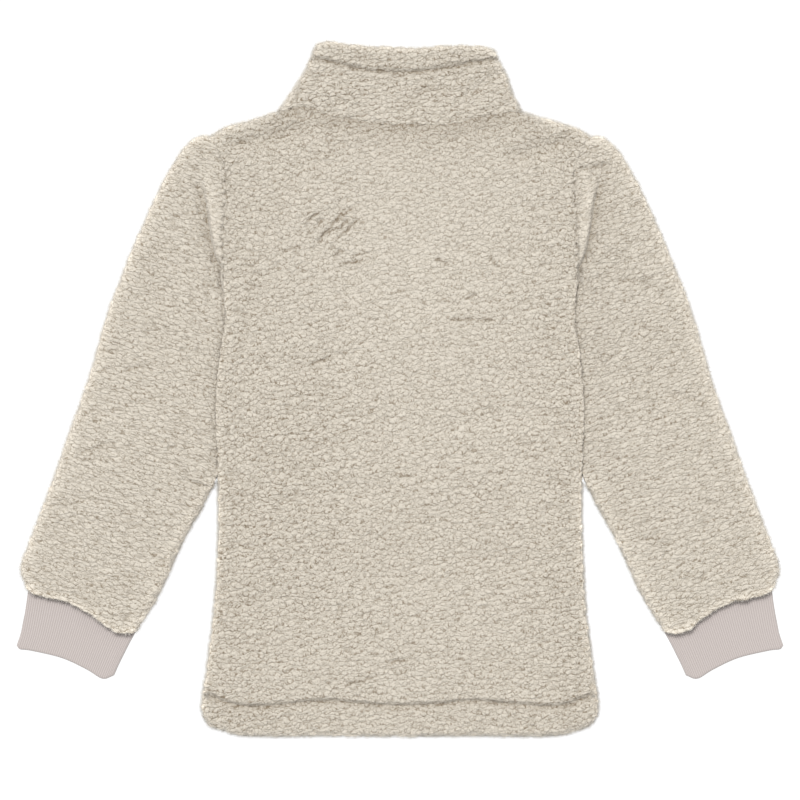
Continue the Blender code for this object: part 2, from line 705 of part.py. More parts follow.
def build_pull_tab():
    """The pull tab: a plate with an eye, hung by its round bar under the slider's crown."""
    far, eye = -TAB_LENGTH, -EYE_LENGTH
    outline = [
        (-EYE_HALF, ARM_END),
        (-TAB_HALF, ARM_END),
        (-TAB_HALF, eye - 2.0),
        (-TAB_TIP_HALF, far + 3.0),
        (-TAB_TIP_HALF + 1.6, far),
        (TAB_TIP_HALF - 1.6, far),
        (TAB_TIP_HALF, far + 3.0),
        (TAB_HALF, eye - 2.0),
        (TAB_HALF, ARM_END),
        (EYE_HALF, ARM_END),
        (EYE_HALF, eye),
        (-EYE_HALF, eye),
    ]
    count = len(outline)
    vertices = [(x, y, z) for z in (-PIVOT_R, PIVOT_R) for x, y in outline]
    faces = [tuple(range(count)), tuple(range(2 * count - 1, count - 1, -1))]
    faces += [(k, (k + 1) % count, count + (k + 1) % count, count + k) for k in range(count)]
    plate = make_object("pull_tab", vertices, faces, "zip_metal")
    sides = 12
    turns = 2 * np.pi * np.arange(sides) / sides
    reach = TAB_HALF - 0.5 * SUNK
    bar = [(x, BAR_R * np.cos(t), BAR_R * np.sin(t)) for x in (-reach, reach) for t in turns]
    faces = [tuple(range(sides)), tuple(range(2 * sides - 1, sides - 1, -1))]
    faces += [(k, (k + 1) % sides, sides + (k + 1) % sides, sides + k) for k in range(sides)]
    pivot = make_object("pull_tab_bar", bar, faces, "zip_metal")
    united([plate, pivot])
    for piece in (plate, pivot):
        piece.location = (0.0, PIVOT_Y * MM, PIVOT_Z * MM)


clear_scene()
build_back()
build_fronts()
build_sleeves()
build_cuffs()
build_collar()
build_zip_sides()
build_slider()
build_pull_tab()
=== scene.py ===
"""Looks of the sherpa zip fleece jacket, laid flat on its front with the back up."""

from functools import partial

import bpy
import numpy as np
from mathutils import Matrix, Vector


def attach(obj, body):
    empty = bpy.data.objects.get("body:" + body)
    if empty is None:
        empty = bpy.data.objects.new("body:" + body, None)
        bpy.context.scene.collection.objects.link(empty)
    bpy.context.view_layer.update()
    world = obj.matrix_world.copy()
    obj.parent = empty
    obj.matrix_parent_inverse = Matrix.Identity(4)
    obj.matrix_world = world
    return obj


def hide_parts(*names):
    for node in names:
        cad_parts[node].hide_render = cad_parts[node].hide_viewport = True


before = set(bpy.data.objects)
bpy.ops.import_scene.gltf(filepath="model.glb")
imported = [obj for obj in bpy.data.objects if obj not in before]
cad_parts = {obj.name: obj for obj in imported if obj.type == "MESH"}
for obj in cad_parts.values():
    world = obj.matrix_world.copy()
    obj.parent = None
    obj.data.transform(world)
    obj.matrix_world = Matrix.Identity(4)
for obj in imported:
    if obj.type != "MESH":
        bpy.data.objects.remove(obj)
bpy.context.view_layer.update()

# Back
# One panel of sherpa: a knitted ground with a curly pile, here 7 mm thick in all. It is
# sewn to the fronts at the shoulders and sides, to the sleeves at the armholes and to the
# collar at the neck, and its hem is turned up once and stitched through.

MM = 0.001
LAYER = 7.0
SEAM_GAP = 0.3
PILE_OVERLAP = 2.2
UPPER_BASE = LAYER + SEAM_GAP
UPPER_TOP = UPPER_BASE + LAYER
MIDDLE = LAYER + 0.5 * SEAM_GAP
EDGE_HALF = 1.2
GRAIN = 1.75
BODY_PUFF, BODY_PUFF_REACH = 1.2, 40.0
BODY_WIDTH, BODY_HEIGHT = 418.0, 640.0
UNDERARM_Y = 117.0
NECK_SHIFT = 1.4

FREE_EDGE = {"reach": 8.0, "drop": LAYER + 0.5 * SEAM_GAP - EDGE_HALF}
PRESSED_EDGE = {"reach": 3.2, "drop": 1.6}
SEAM_EDGE = {"reach": 4.0, "drop": 1.3}
BESIDE_EDGE = {"reach": 14.0, "drop": 6.6}
NECK_EDGE = {"reach": 6.0, "drop": 1.8}
COLLAR_FOOT = {"reach": 3.0, "drop": 1.0}
UNDER_EDGE = {"reach": 6.0, "drop": 4.4}
HEM_STITCH = {"depth": 5.2, "above": 2.2, "below": 3.5, "down": 1.2}
PUCKER = {"depth": 3.2, "spread": 3.4, "pitch": 12.5, "shade": 0.6, "shade_spread": 1.9}

BODY_SIDE = [
    (211.5, -357.0), (214.4, -342.0), (208.9, -301.0), (203.9, -263.0), (200.0, -222.0),
    (196.6, -150.0), (197.4, -85.0), (199.2, -15.0), (195.5, 31.0), (189.5, 75.0),
    (192.2, 117.2),
]
ARMHOLE = [
    (192.2, 117.2), (193.5, 150.0), (191.5, 190.0), (189.5, 220.0), (192.0, 245.0),
    (205.2, 272.7),
]
HEM = [
    (211.5, -357.0), (206.0, -364.8), (191.0, -370.0), (171.0, -375.0), (140.0, -376.4),
    (75.0, -375.6), (0.0, -376.4),
]
SHOULDER = [(205.2, 272.7), (190.0, 282.0), (160.0, 291.0), (131.8, 299.4)]
NECK_SEAM = [
    (-131.8, 299.4), (-103.0, 304.0), (-68.0, 293.5), (-20.0, 286.0), (30.0, 284.8),
    (62.0, 286.8), (98.0, 296.0), (131.8, 299.4),
]
HEM_STITCH_LINE = [
    (207.0, -330.0), (184.0, -339.0), (157.7, -342.4), (121.0, -339.7), (78.0, -336.4),
    (40.0, -339.7), (0.0, -341.5),
]

# Soft folds. Columns: side, x1, y1, x2, y2, height, spread
BACK_FOLDS = [
    ("left", -112.0, 278.0, -176.0, 263.0, -3.6, 9.0),
    ("right", 125.0, 250.0, 183.0, 268.0, -3.6, 9.0),
    ("both", -186.0, 110.0, -189.0, -100.0, 2.0, 10.0),
    ("both", -164.0, 90.0, -168.0, -60.0, -1.2, 10.0),
    ("left", -97.0, 173.0, -59.0, 203.0, -1.3, 5.0),
    ("left", -89.0, 152.0, -70.0, 187.0, -1.2, 5.0),
    ("left", -150.0, 20.0, -60.0, 34.0, -1.1, 12.0),
    ("right", 40.0, -40.0, 140.0, -28.0, -1.1, 13.0),
    ("left", -120.0, -120.0, -10.0, -104.0, -1.2, 13.0),
    ("right", 60.0, -180.0, 150.0, -190.0, -1.0, 13.0),
    ("left", -160.0, -230.0, -70.0, -240.0, -1.0, 14.0),
]

# Sharp little creases where the pile parts. Columns as above
BACK_CREASES = [
    ("left", -72.4, 178.8, -51.8, 194.7, -1.2, 1.2),
    ("left", -66.1, 163.0, -47.0, 180.4, -1.3, 1.2),
    ("left", -101.0, 178.7, -89.9, 188.4, -1.2, 1.2),
    ("left", -129.6, 145.5, -110.6, 153.4, -1.1, 1.2),
    ("left", -61.3, 134.3, -43.8, 137.5, -1.2, 1.2),
    ("left", -99.8, 166.0, -94.3, 168.7, -1.6, 1.3),
    ("left", -94.3, 168.7, -84.6, 180.4, -1.6, 1.3),
    ("left", -87.5, 157.7, -75.0, 174.4, -2.0, 1.4),
    ("left", -75.0, 174.4, -59.8, 193.9, -1.8, 1.4),
    ("left", -80.5, 167.3, -63.9, 174.2, -1.5, 1.2),
    ("left", -63.9, 174.2, -55.6, 182.5, -1.4, 1.2),
    ("left", -70.8, 142.6, -66.6, 148.1, -1.6, 1.2),
    ("left", -66.6, 148.1, -61.1, 147.4, -1.4, 1.2),
    ("left", -47.5, 144.2, -33.5, 146.3, -1.3, 1.2),
    ("right", 71.3, 97.1, 82.1, 99.9, -1.5, 1.3),
    ("right", 54.5, 74.0, 69.7, 75.1, -1.2, 1.2),
    ("right", 69.7, 75.1, 101.5, 72.9, -1.3, 1.3),
    ("right", 94.5, 142.6, 102.6, 137.0, -1.3, 1.2),
    ("right", 39.4, 139.9, 51.8, 133.6, -1.1, 1.2),
    ("left", -95.6, 25.4, -75.0, 34.0, -1.6, 1.4),
    ("left", -9.7, -294.3, 5.4, -292.7, -1.7, 1.4),
    ("left", -54.0, -318.1, -30.2, -312.1, -1.6, 1.3),
]


def smooth(points, steps=24):
    """A Catmull-Rom curve through the points, as a dense polyline."""
    p = np.array(points, float)
    ends = np.vstack([2 * p[0] - p[1], p, 2 * p[-1] - p[-2]])
    a, b, c, d = ends[:-3, None], ends[1:-2, None], ends[2:-1, None], ends[3:, None]
    t = (np.arange(steps) / steps)[None, :, None]
    cubic = 0.5 * (
        2 * b + (c - a) * t + (2 * a - 5 * b + 4 * c - d) * t**2 + (3 * b - a - 3 * c + d) * t**3
    )
    return np.vstack([cubic.reshape(-1, 2), p[-1:]])


def mirrored(points):
    return [(-x, y) for x, y in points]


def along(curve, s):
    """Points of a polyline at the fractions s of its length."""
    lengths = np.concatenate([[0.0], np.cumsum(np.linalg.norm(np.diff(curve, axis=0), axis=1))])
    at = np.asarray(s) * lengths[-1]
    return np.stack([np.interp(at, lengths, curve[:, k]) for k in (0, 1)], axis=-1)


def patch(bottom, top, left, right, us, vs):
    """A Coons patch: both pairs of facing edges ruled across, less the corners' bilinear blend."""
    u = np.asarray(us)[None, :, None]
    v = np.asarray(vs)[:, None, None]
    low, high = along(bottom, us)[None], along(top, us)[None]
    near, far = along(left, vs)[:, None], along(right, vs)[:, None]
    ruled = (1 - v) * low + v * high + (1 - u) * near + u * far
    corners = (1 - u) * (1 - v) * bottom[0] + u * (1 - v) * bottom[-1]
    corners = corners + (1 - u) * v * top[0] + u * v * top[-1]
    return ruled - corners


def nearest(grid, curve):
    """Each grid point's distance to a polyline, how far along it the nearest place is, and 1 where
    the point lies left of the line's way, or -1."""
    flat = grid.reshape(-1, 2)
    best, place, side = np.full(len(flat), np.inf), np.zeros(len(flat)), np.ones(len(flat))
    passed = 0.0
    for a, b in zip(curve[:-1], curve[1:]):
        step = b - a
        size = max(np.sqrt(step @ step), 1e-9)
        t = np.clip(((flat - a) @ step) / size**2, 0, 1)
        away = ((flat - a - t[:, None] * step) ** 2).sum(axis=1)
        closer = away < best
        best = np.where(closer, away, best)
        place = np.where(closer, passed + t * size, place)
        left = step[0] * (flat[:, 1] - a[1]) - step[1] * (flat[:, 0] - a[0])
        side = np.where(closer, np.sign(left), side)
        passed += size
    shape = grid.shape[:-1]
    return np.sqrt(best).reshape(shape), place.reshape(shape), side.reshape(shape)


def distance_to(grid, curve):
    return nearest(grid, curve)[0]


def away_from(grid, curves):
    """Each grid point's distance to the nearest of several curves."""
    return np.minimum.reduce([distance_to(grid, curve[::6]) for curve in curves])


def bell(away, spread):
    """1 at a distance of 0 and less on both sides: e to minus the square of distance over spread."""
    return np.exp(-((away / spread) ** 2))


def banded(away, rows):
    """A sum of bells of one distance. Columns of the rows: amount, spread, the bell's middle."""
    return sum(amount * bell(away - middle, spread) for amount, spread, middle in rows)


def spot(grid, x, y, wide, tall):
    """A soft patch: 1 at one place, and a bell away from it in both directions."""
    return np.exp(-(((grid[..., 0] - x) / wide) ** 2) - ((grid[..., 1] - y) / tall) ** 2)


def rounded(distance, edge):
    """How far the pile drops near an edge: a quarter ellipse of the edge's reach and drop."""
    inward = np.clip(1 - distance / edge["reach"], 0, 1)
    return edge["drop"] * (1 - np.sqrt(1 - inward**2))


def stitch_furrow(grid, line, stitch):
    """The furrow that a row of stitches presses into the pile: steep on its upper side, where the
    pile hangs over the thread, and slow on its lower side."""
    above = grid[..., 1] > np.interp(grid[..., 0], *line[::4].T)
    spread = np.where(above, stitch["above"], stitch["below"])
    return stitch["depth"] * bell(distance_to(grid, line[::6]), spread)


def puckers(grid, seam, spread=PUCKER["spread"]):
    """Pits where a seam gathers the pile: a bell across the seam times an uneven wave along it."""
    away, place, _ = nearest(grid, seam[::3])
    beat = 0.5 + 0.5 * np.sin(2 * np.pi * place / PUCKER["pitch"] + 1.7 * np.sin(place / 17.0))
    below_head = np.clip((275.0 - np.abs(grid[..., 1])) / 45.0, 0, 1)
    return bell(away, spread) * beat**1.5 * below_head


def edge_drop(grid, edges):
    """The deepest of the drops that the edges near a point give it."""
    return np.maximum.reduce([rounded(distance_to(grid, curve[::4]), edge) for curve, edge in edges])


def folds_on(grid, rows):
    """Sum of soft ridges and troughs: height times a bell of the distance to each line."""
    height = np.zeros(grid.shape[:-1])
    left_half = np.stack([-np.abs(grid[..., 0]), grid[..., 1]], axis=-1)
    for where, x1, y1, x2, y2, rise, spread in rows:
        line = np.array([(x1, y1), (x2, y2)])
        place = left_half if where == "both" else grid
        height += rise * bell(distance_to(place, line), spread)
    return height


def crease_painted_shade(grid, rows, seed):
    """How much painted shade each place gets from the creases near it: 1 on a line that wanders with slow
    noise.
    """
    dark = np.zeros(grid.shape[:-1])
    place = with_height(grid, 0.0)
    wander = np.stack([noise(place / 6.0, seed), noise(place / 6.0, seed + 1)], axis=-1)
    for where, x1, y1, x2, y2, *_ in rows:
        away = distance_to(grid + 3.0 * wander, np.array([(x1, y1), (x2, y2)]))
        dark = np.maximum(dark, bell(away, 1.1))
    return dark


def billow(grid):
    """A slow unevenness of the laid cloth, two crossed waves."""
    x, y = grid[..., 0], grid[..., 1]
    return 0.4 * np.sin(x / 31.0 + y / 57.0) + 0.3 * np.sin(y / 26.0 - x / 74.0)


def steps(length, fine, size):
    """Fractions of a length: the fine steps at both ends, and equal steps of about one size between."""
    fine = np.array(fine)
    count = max(2, int(round((length - 2 * fine[-1]) / size)))
    middle = np.linspace(fine[-1], length - fine[-1], count + 1)
    return np.concatenate([fine[:-1], middle, length - fine[-2::-1]]) / length


GRADIENTS = np.random.default_rng(7).normal(size=(256, 3))
GRADIENTS /= np.linalg.norm(GRADIENTS, axis=1, keepdims=True)


def noise(points, seed=0):
    """Gradient noise: each lattice corner's gradient dotted with the way to the point, blended
    with the quintic 6t^5 - 15t^4 + 10t^3. It swings evenly about 0."""
    cell = np.floor(points).astype(np.int64)
    part = points - cell
    blend = part**3 * (part * (part * 6 - 15) + 10)
    total = np.zeros(points.shape[:-1])
    for corner in np.ndindex(2, 2, 2):
        at = cell + corner
        key = at[..., 0] * 73856093 ^ at[..., 1] * 19349663 ^ at[..., 2] * 83492791 ^ seed * 2654435761
        key = (key ^ (key >> 13)) * 1274126177 & 0xFFFFFFFF
        weight = np.where(corner, blend, 1 - blend).prod(axis=-1)
        total += weight * (GRADIENTS[(key >> 9) & 255] * (part - corner)).sum(axis=-1)
    return total


LUMP, LUMP_SIZE, LUMP_REACH = 3.0, 7.0, 6.0
INSET, INSET_REACH = 1.1, 2.5
CURL = {"size": 5.6, "fine": 3.4, "depth": 0.9, "fine_depth": 0.65, "dome": 0.6}


def pile_lines(points, lie, stretch, seed):
    """Warped noise whose zero lines are where the pile parts, at two sizes, and the two noises that
    say how far each stretch of line is parted. The lines run mostly along lie, an angle from +X,
    and are longer the greater stretch is. Also gives the warped places, for finer detail."""
    across = np.array([np.cos(lie), np.sin(lie), 0.0])
    up = np.array([-np.sin(lie), np.cos(lie), 0.0])
    turned = [points @ across / stretch, points @ up * stretch**0.5, points[..., 2] * 1.2]
    turned = np.stack(turned, axis=-1)
    warp = np.stack([noise(turned / 11.0, seed + k) for k in (1, 2, 3)], axis=-1)
    turned = turned + 3.0 * warp
    fields = [(turned / CURL["size"], 4), (turned / CURL["fine"], 5), (turned / 4.7, 6), (turned / 3.6, 8)]
    return [noise(place, seed + k) for place, k in fields], turned


def blended(several, weights):
    """One set of noises from several, weighted place by place so that their strength stays even."""
    size = np.sqrt(sum(weight**2 for weight in weights))
    return [sum(w * field for w, field in zip(weights, fields)) / size for fields in zip(*several)]


def curls(lines, place, tousle):
    """The pile's curls from its lines: domes between the lines of the larger noise, with a narrow
    cleft along the parted stretches of both. tousle, from 0 to 1, is how far the pile is parted.
    Returns the height over the cloth and the marks that the material draws the clefts' bump and painted
    shade from."""
    coarse, fine, parts, fine_parts = lines
    parted = np.clip(2.2 * tousle - 0.45 + 2.6 * parts, 0, 1)
    fine_parted = np.clip(1.6 * tousle - 0.35 + 2.6 * fine_parts, 0, 1)
    cleft = bell(coarse, 0.12) * parted
    fine_cleft = bell(fine, 0.14) * fine_parted
    dome = 1 - (1 - np.clip(np.abs(coarse) / 0.34, 0, 1)) ** 2
    height = CURL["dome"] * (0.45 + 0.75 * tousle) * (dome - 0.7)
    height -= CURL["depth"] * cleft + CURL["fine_depth"] * fine_cleft
    marks = {"curl": coarse, "curl_fine": fine, "parted": parted, "parted_fine": fine_parted}
    marks["tousle"] = np.clip(0.35 + 1.1 * tousle, 0, 1) + np.zeros(coarse.shape)
    marks["pile_place"] = place * MM
    return height, marks


def blotches(grid, size, seed):
    """A slow unevenness from 0 to 1, from noise of one size."""
    place = np.concatenate([grid[..., :2], np.zeros(grid.shape[:-1])[..., None]], axis=-1)
    return np.clip(0.5 + 1.1 * noise(place / size, seed), 0, 1)


def outward(grid, closed=False):
    """Unit normals of a grid surface, from the cross product of its two directions."""
    if closed:
        ring = np.concatenate([grid[:, -1:], grid, grid[:, :1]], axis=1)
        across = (ring[:, 2:] - ring[:, :-2]) / 2
    else:
        across = np.gradient(grid, axis=1)
    normal = np.cross(across, np.gradient(grid, axis=0))
    size = np.linalg.norm(normal, axis=-1, keepdims=True)
    return normal / np.maximum(size, 1e-9)


def with_height(grid, z):
    return np.concatenate([grid, np.broadcast_to(z, grid.shape[:-1])[..., None]], axis=-1)


def piece_from(name, points, faces, marks=None):
    """One object at the origin from points in millimetres and arrays of faces, turned outwards. The
    marks are values or places for its first points: the plain points after them get their own place."""
    triangles = np.concatenate([f[:, [0, k, k + 1]] for f in faces for k in range(1, f.shape[1] - 1)])
    a, b, c = (points[triangles[:, k]] for k in range(3))
    if (np.cross(a, b) * c).sum() < 0:
        faces = [f[:, ::-1] for f in faces]
    corners = np.concatenate([f.ravel() for f in faces])
    counts = np.concatenate([np.full(len(f), f.shape[1]) for f in faces])
    mesh = bpy.data.meshes.new(name)
    mesh.vertices.add(len(points))
    mesh.vertices.foreach_set("co", (points * MM).astype(np.float32).ravel())
    mesh.loops.add(len(corners))
    mesh.loops.foreach_set("vertex_index", corners.astype(np.int32))
    mesh.polygons.add(len(counts))
    starts = np.concatenate([[0], np.cumsum(counts)[:-1]])
    mesh.polygons.foreach_set("loop_start", starts.astype(np.int32))
    mesh.update(calc_edges=True)
    for mark, values in (marks or {}).items():
        if mark.endswith("_place"):
            full, kind, field = points * MM, "FLOAT_VECTOR", "vector"
            full[: values[..., 0].size] = values.reshape(-1, 3)
        else:
            full, kind, field = np.zeros(len(points)), "FLOAT", "value"
            full[: values.size] = values.ravel()
        layer = mesh.attributes.new(mark, kind, "POINT")
        layer.data.foreach_set(field, full.astype(np.float32).ravel())
    mesh.shade_smooth()
    piece = bpy.data.objects.new(name, mesh)
    bpy.context.scene.collection.objects.link(piece)
    return piece


def grid_quads(rows, columns, first=0, closed=False):
    """The quads of a grid of points laid row by row, closed round its columns if asked."""
    index = first + np.arange(rows * columns).reshape(rows, columns)
    if closed:
        index = np.concatenate([index, index[:, :1]], axis=1)
    corners = (index[:-1, :-1], index[:-1, 1:], index[1:, 1:], index[1:, :-1])
    return np.stack([corner.ravel() for corner in corners], axis=1)


def rim_of(rows, columns):
    index = np.arange(rows * columns).reshape(rows, columns)
    return np.concatenate([index[0, :-1], index[:-1, -1], index[-1, :0:-1], index[:0:-1, 0]])


def panel_piece(name, outer, inner_z, marks):
    """A cut panel: a curly outer face, a rim, and a plain inner face at one height."""
    rows, columns = outer.shape[:2]
    rim = rim_of(rows, columns)
    points = outer.reshape(-1, 3)
    plain = points[rim].copy()
    plain[:, 2] = inner_z
    base, count = rows * columns, len(rim)
    k = np.arange(count)
    n = (k + 1) % count
    wall = np.stack([rim[n], rim[k], base + k, base + n], axis=1)
    faces = [grid_quads(rows, columns), wall, base + k[None, ::-1]]
    return piece_from(name, np.vstack([points, plain]), faces, marks)


def wire(tree, node, inputs):
    """Links each named input of a node from a socket, or sets it to a plain value."""
    for name, value in inputs.items():
        if isinstance(value, bpy.types.NodeSocket):
            tree.links.new(value, node.inputs[name])
        else:
            node.inputs[name].default_value = value


def add_node(tree, kind, inputs, **settings):
    node = tree.nodes.new(kind)
    for name, value in settings.items():
        setattr(node, name, value)
    wire(tree, node, inputs)
    return node


def math(tree, operation, *values, clamp=False):
    """What a math node makes of its values, each a socket or a number."""
    inputs = dict(enumerate(values))
    return add_node(tree, "ShaderNodeMath", inputs, operation=operation, use_clamp=clamp).outputs[0]


def texture(tree, scale, detail=2.0, distortion=0.0):
    """A noise on the piece's own coordinates."""
    place = tree.nodes.new("ShaderNodeTexCoord").outputs["Object"]
    inputs = {"Vector": place, "Scale": scale, "Detail": detail, "Distortion": distortion}
    return add_node(tree, "ShaderNodeTexNoise", inputs).outputs["Fac"]


def attribute(tree, mark, output="Fac"):
    return add_node(tree, "ShaderNodeAttribute", {}, attribute_name=mark).outputs[output]


def ramp(tree, value, low, high, start=0.0, end=1.0):
    """A smooth step from start, where the value is low, to end, where it is high."""
    inputs = {"Value": value, "From Min": low, "From Max": high, "To Min": start, "To Max": end}
    return add_node(tree, "ShaderNodeMapRange", inputs, interpolation_type="SMOOTHSTEP").outputs["Result"]


def mixed(tree, share, a, b, blend="MIX"):
    """Two colours, each a socket or three numbers, mixed by a share."""
    a, b = (colour if isinstance(colour, bpy.types.NodeSocket) else (*colour, 1.0) for colour in (a, b))
    inputs = {"Factor": share, "A": a, "B": b}
    return add_node(tree, "ShaderNodeMix", inputs, data_type="RGBA", blend_type=blend).outputs["Result"]


def bump(tree, height, strength, distance):
    inputs = {"Height": height, "Strength": strength, "Distance": distance}
    return add_node(tree, "ShaderNodeBump", inputs).outputs["Normal"]


def new_material(name, surface):
    """A material with its shader's plain inputs set, its node tree and its shader."""
    material = bpy.data.materials.new(name)
    material.use_nodes = True
    tree = material.node_tree
    shader = tree.nodes["Principled BSDF"]
    wire(tree, shader, surface)
    return material, tree, shader


TUFT = {"scale": 190.0, "gap": 0.17, "dome": 0.30, "patches": 260.0, "low": 0.26, "high": 0.50}
SMALL_TUFT = {"scale": 350.0, "gap": 0.17, "dome": 0.30, "patches": 420.0, "low": 0.34, "high": 0.58}
TUFT_FOOT = (-0.15, 0.3)
TUFT_DRIFT = (0.004, 0.004, 0.004)
CLEFT_WIDTH, FINE_CLEFT_WIDTH = 0.10, 0.13


def pile_group():
    """Node group: the sherpa's colour and bump height. Painted shade darkens the clefts along the parted
    lines of the grid's marks, and round the lower sides of tufts of two sizes, which are cells of the pile,
    where each tuft shades the next. The shade mark adds painted shade above 0 and painted light below 0."""
    tree = bpy.data.node_groups.new("sherpa_pile", "ShaderNodeTree")
    for name, kind, value in (
        ("Pile", "NodeSocketColor", (0.7, 0.62, 0.52, 1.0)),
        ("Cleft", "NodeSocketColor", (0.32, 0.25, 0.18, 1.0)),
        ("Cleft Strength", "NodeSocketFloat", 0.8),
        ("Fibre", "NodeSocketFloat", 1.0),
    ):
        tree.interface.new_socket(name, in_out="INPUT", socket_type=kind).default_value = value
    tree.interface.new_socket("Color", in_out="OUTPUT", socket_type="NodeSocketColor")
    tree.interface.new_socket("Height", in_out="OUTPUT", socket_type="NodeSocketFloat")
    given = tree.nodes.new("NodeGroupInput").outputs
    names = ("MULTIPLY", "ADD", "SUBTRACT", "MAXIMUM", "MINIMUM")
    times, plus, less, larger, smaller = (partial(math, tree, name) for name in names)
    place = attribute(tree, "pile_place", "Vector")
    drift = add_node(tree, "ShaderNodeTexNoise", {"Vector": place, "Scale": 300.0, "Detail": 2.0})
    bent = {0: drift.outputs["Color"], 1: TUFT_DRIFT, 2: place}
    bent = add_node(tree, "ShaderNodeVectorMath", bent, operation="MULTIPLY_ADD").outputs["Vector"]

    def line(value, width):
        """1 on a noise's zero line, falling to 0 at the width on either side."""
        return ramp(tree, math(tree, "ABSOLUTE", value), 0.0, width, 1.0, 0.0)

    def tufts(size):
        """Tufts of one size: how far inside its tuft a place is, how far down its tuft, and the painted
        shade along the tufts' lower sides, where each tuft shades the next, in patches."""
        inputs = {"Vector": bent, "Scale": size["scale"]}
        edges = add_node(tree, "ShaderNodeTexVoronoi", inputs, feature="DISTANCE_TO_EDGE")
        centres = add_node(tree, "ShaderNodeTexVoronoi", inputs)
        offset = {0: centres.outputs["Position"], 1: bent}
        offset = add_node(tree, "ShaderNodeVectorMath", offset, operation="SUBTRACT").outputs["Vector"]
        down = times(add_node(tree, "ShaderNodeSeparateXYZ", {"Vector": offset}).outputs["Y"], size["scale"])
        inside = edges.outputs["Distance"]
        gaps = times(line(inside, size["gap"]), ramp(tree, down, *TUFT_FOOT))
        patches = ramp(tree, texture(tree, size["patches"], 1.0), size["low"], size["high"])
        return ramp(tree, inside, 0.0, size["dome"]), down, times(gaps, patches)

    dome, down, gaps = tufts(TUFT)
    small_dome, _, small_gaps = tufts(SMALL_TUFT)
    # Painted shade in the clefts: along the parted lines and round the tufts' lower sides
    gaps = times(gaps, attribute(tree, "tousle"))
    coarse = times(line(attribute(tree, "curl"), CLEFT_WIDTH), attribute(tree, "parted"))
    fine = times(line(attribute(tree, "curl_fine"), FINE_CLEFT_WIDTH), attribute(tree, "parted_fine"))
    drawn = larger(times(coarse, 0.6), times(fine, 0.5))
    cleft = larger(drawn, larger(times(gaps, 1.25), times(small_gaps, 0.9)))
    # The shade mark: painted shade above 0, mixed towards the cleft colour, and painted light below 0, which
    # brightens the colour
    painted_shade_and_light = attribute(tree, "shade")
    dark = plus(times(cleft, given["Cleft Strength"]), times(larger(painted_shade_and_light, 0.0), 0.5), clamp=True)
    strands, broad = texture(tree, 700.0, 3.0, 1.0), texture(tree, 9.0)
    light = plus(math(tree, "MULTIPLY_ADD", strands, 0.26, 0.87), times(less(broad, 0.5), 0.02))
    light = times(light, less(1.0, smaller(painted_shade_and_light, 0.0)))
    grey = add_node(tree, "ShaderNodeCombineColor", dict.fromkeys(("Red", "Green", "Blue"), light))
    colour = mixed(tree, dark, given["Pile"], given["Cleft"])
    colour = mixed(tree, 1.0, colour, grey.outputs["Color"], "MULTIPLY")
    height = plus(plus(dome, times(small_dome, 0.35)), times(down, 0.5))
    height = less(plus(height, times(times(strands, 0.5), given["Fibre"])), times(drawn, 0.8))
    wire(tree, tree.nodes.new("NodeGroupOutput"), {"Color": colour, "Height": height})
    return tree


PILE_GROUP = pile_group()


def fleece_material(name, pile, cleft, strength, fibre):
    """Sherpa: a matt fibre with a soft sheen, its clefts darker with painted shade and its strands as bump.
    """
    surface = {"Roughness": 0.95, "Specular IOR Level": 0.15, "Sheen Weight": 0.25, "Sheen Roughness": 0.6}
    material, tree, shader = new_material(name, surface)
    inputs = {"Pile": (*pile, 1.0), "Cleft": (*cleft, 1.0), "Cleft Strength": strength, "Fibre": fibre}
    pile = add_node(tree, "ShaderNodeGroup", inputs, node_tree=PILE_GROUP).outputs
    wire(tree, shader, {"Base Color": pile["Color"], "Normal": bump(tree, pile["Height"], 0.9, 0.0006)})
    return material


# The second colour is the clefts' painted shade
FLEECE = fleece_material("sherpa_fleece", (0.569, 0.523, 0.449), (0.197, 0.155, 0.105), 0.95, 1.0)


def dress(piece, material, slot, *nodes):
    """Gives a piece its material, its body and the solids that it stands for; its slot argument is not used.
    """
    piece.data.materials.append(material)
    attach(piece, "jacket")
    if nodes:
        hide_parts(*nodes)


# How far the pile is parted, from 0 to 1, evenly and by what each patch adds
TOUSLE = {"even": 0.38, "sides": 0.24, "calm": -0.14, "blotches": 0.08}
# Soft patches of the back. Columns: x, y, width, height
CALM_PATCH = (25.0, 165.0, 120.0, 130.0)
ROUGH_PATCH = (-110.0, -90.0, 60.0, 150.0)
SLANT_PATCHES = [(-150.0, 30.0, 75.0, 140.0), (150.0, 30.0, 75.0, 140.0)]
# How the curls lie: level, level and longer, slanted on the left, slanted on the right.
# Columns: angle from +X, stretch, seed
BACK_LIES = [(0.1, 1.15, 20), (0.1, 1.5, 24), (np.radians(-41.0), 1.45, 28), (np.radians(48.0), 1.45, 32)]
# Painted shade of the back, in the shade mark: below the collar, along the neck seam and the hem stitches,
# in the creases, from the shoulder troughs, towards the hem and on the hem band. beside, taken off, is
# painted light along the crease by the sleeves
BACK_PAINTED_SHADE = {"neck": 0.72, "neck_reach": 16.0, "neck_line": 0.65, "stitch": 0.42, "crease": 1.3}
BACK_PAINTED_SHADE.update({"trough": 0.22, "low": 0.05, "hem": 0.06, "beside": 0.12})
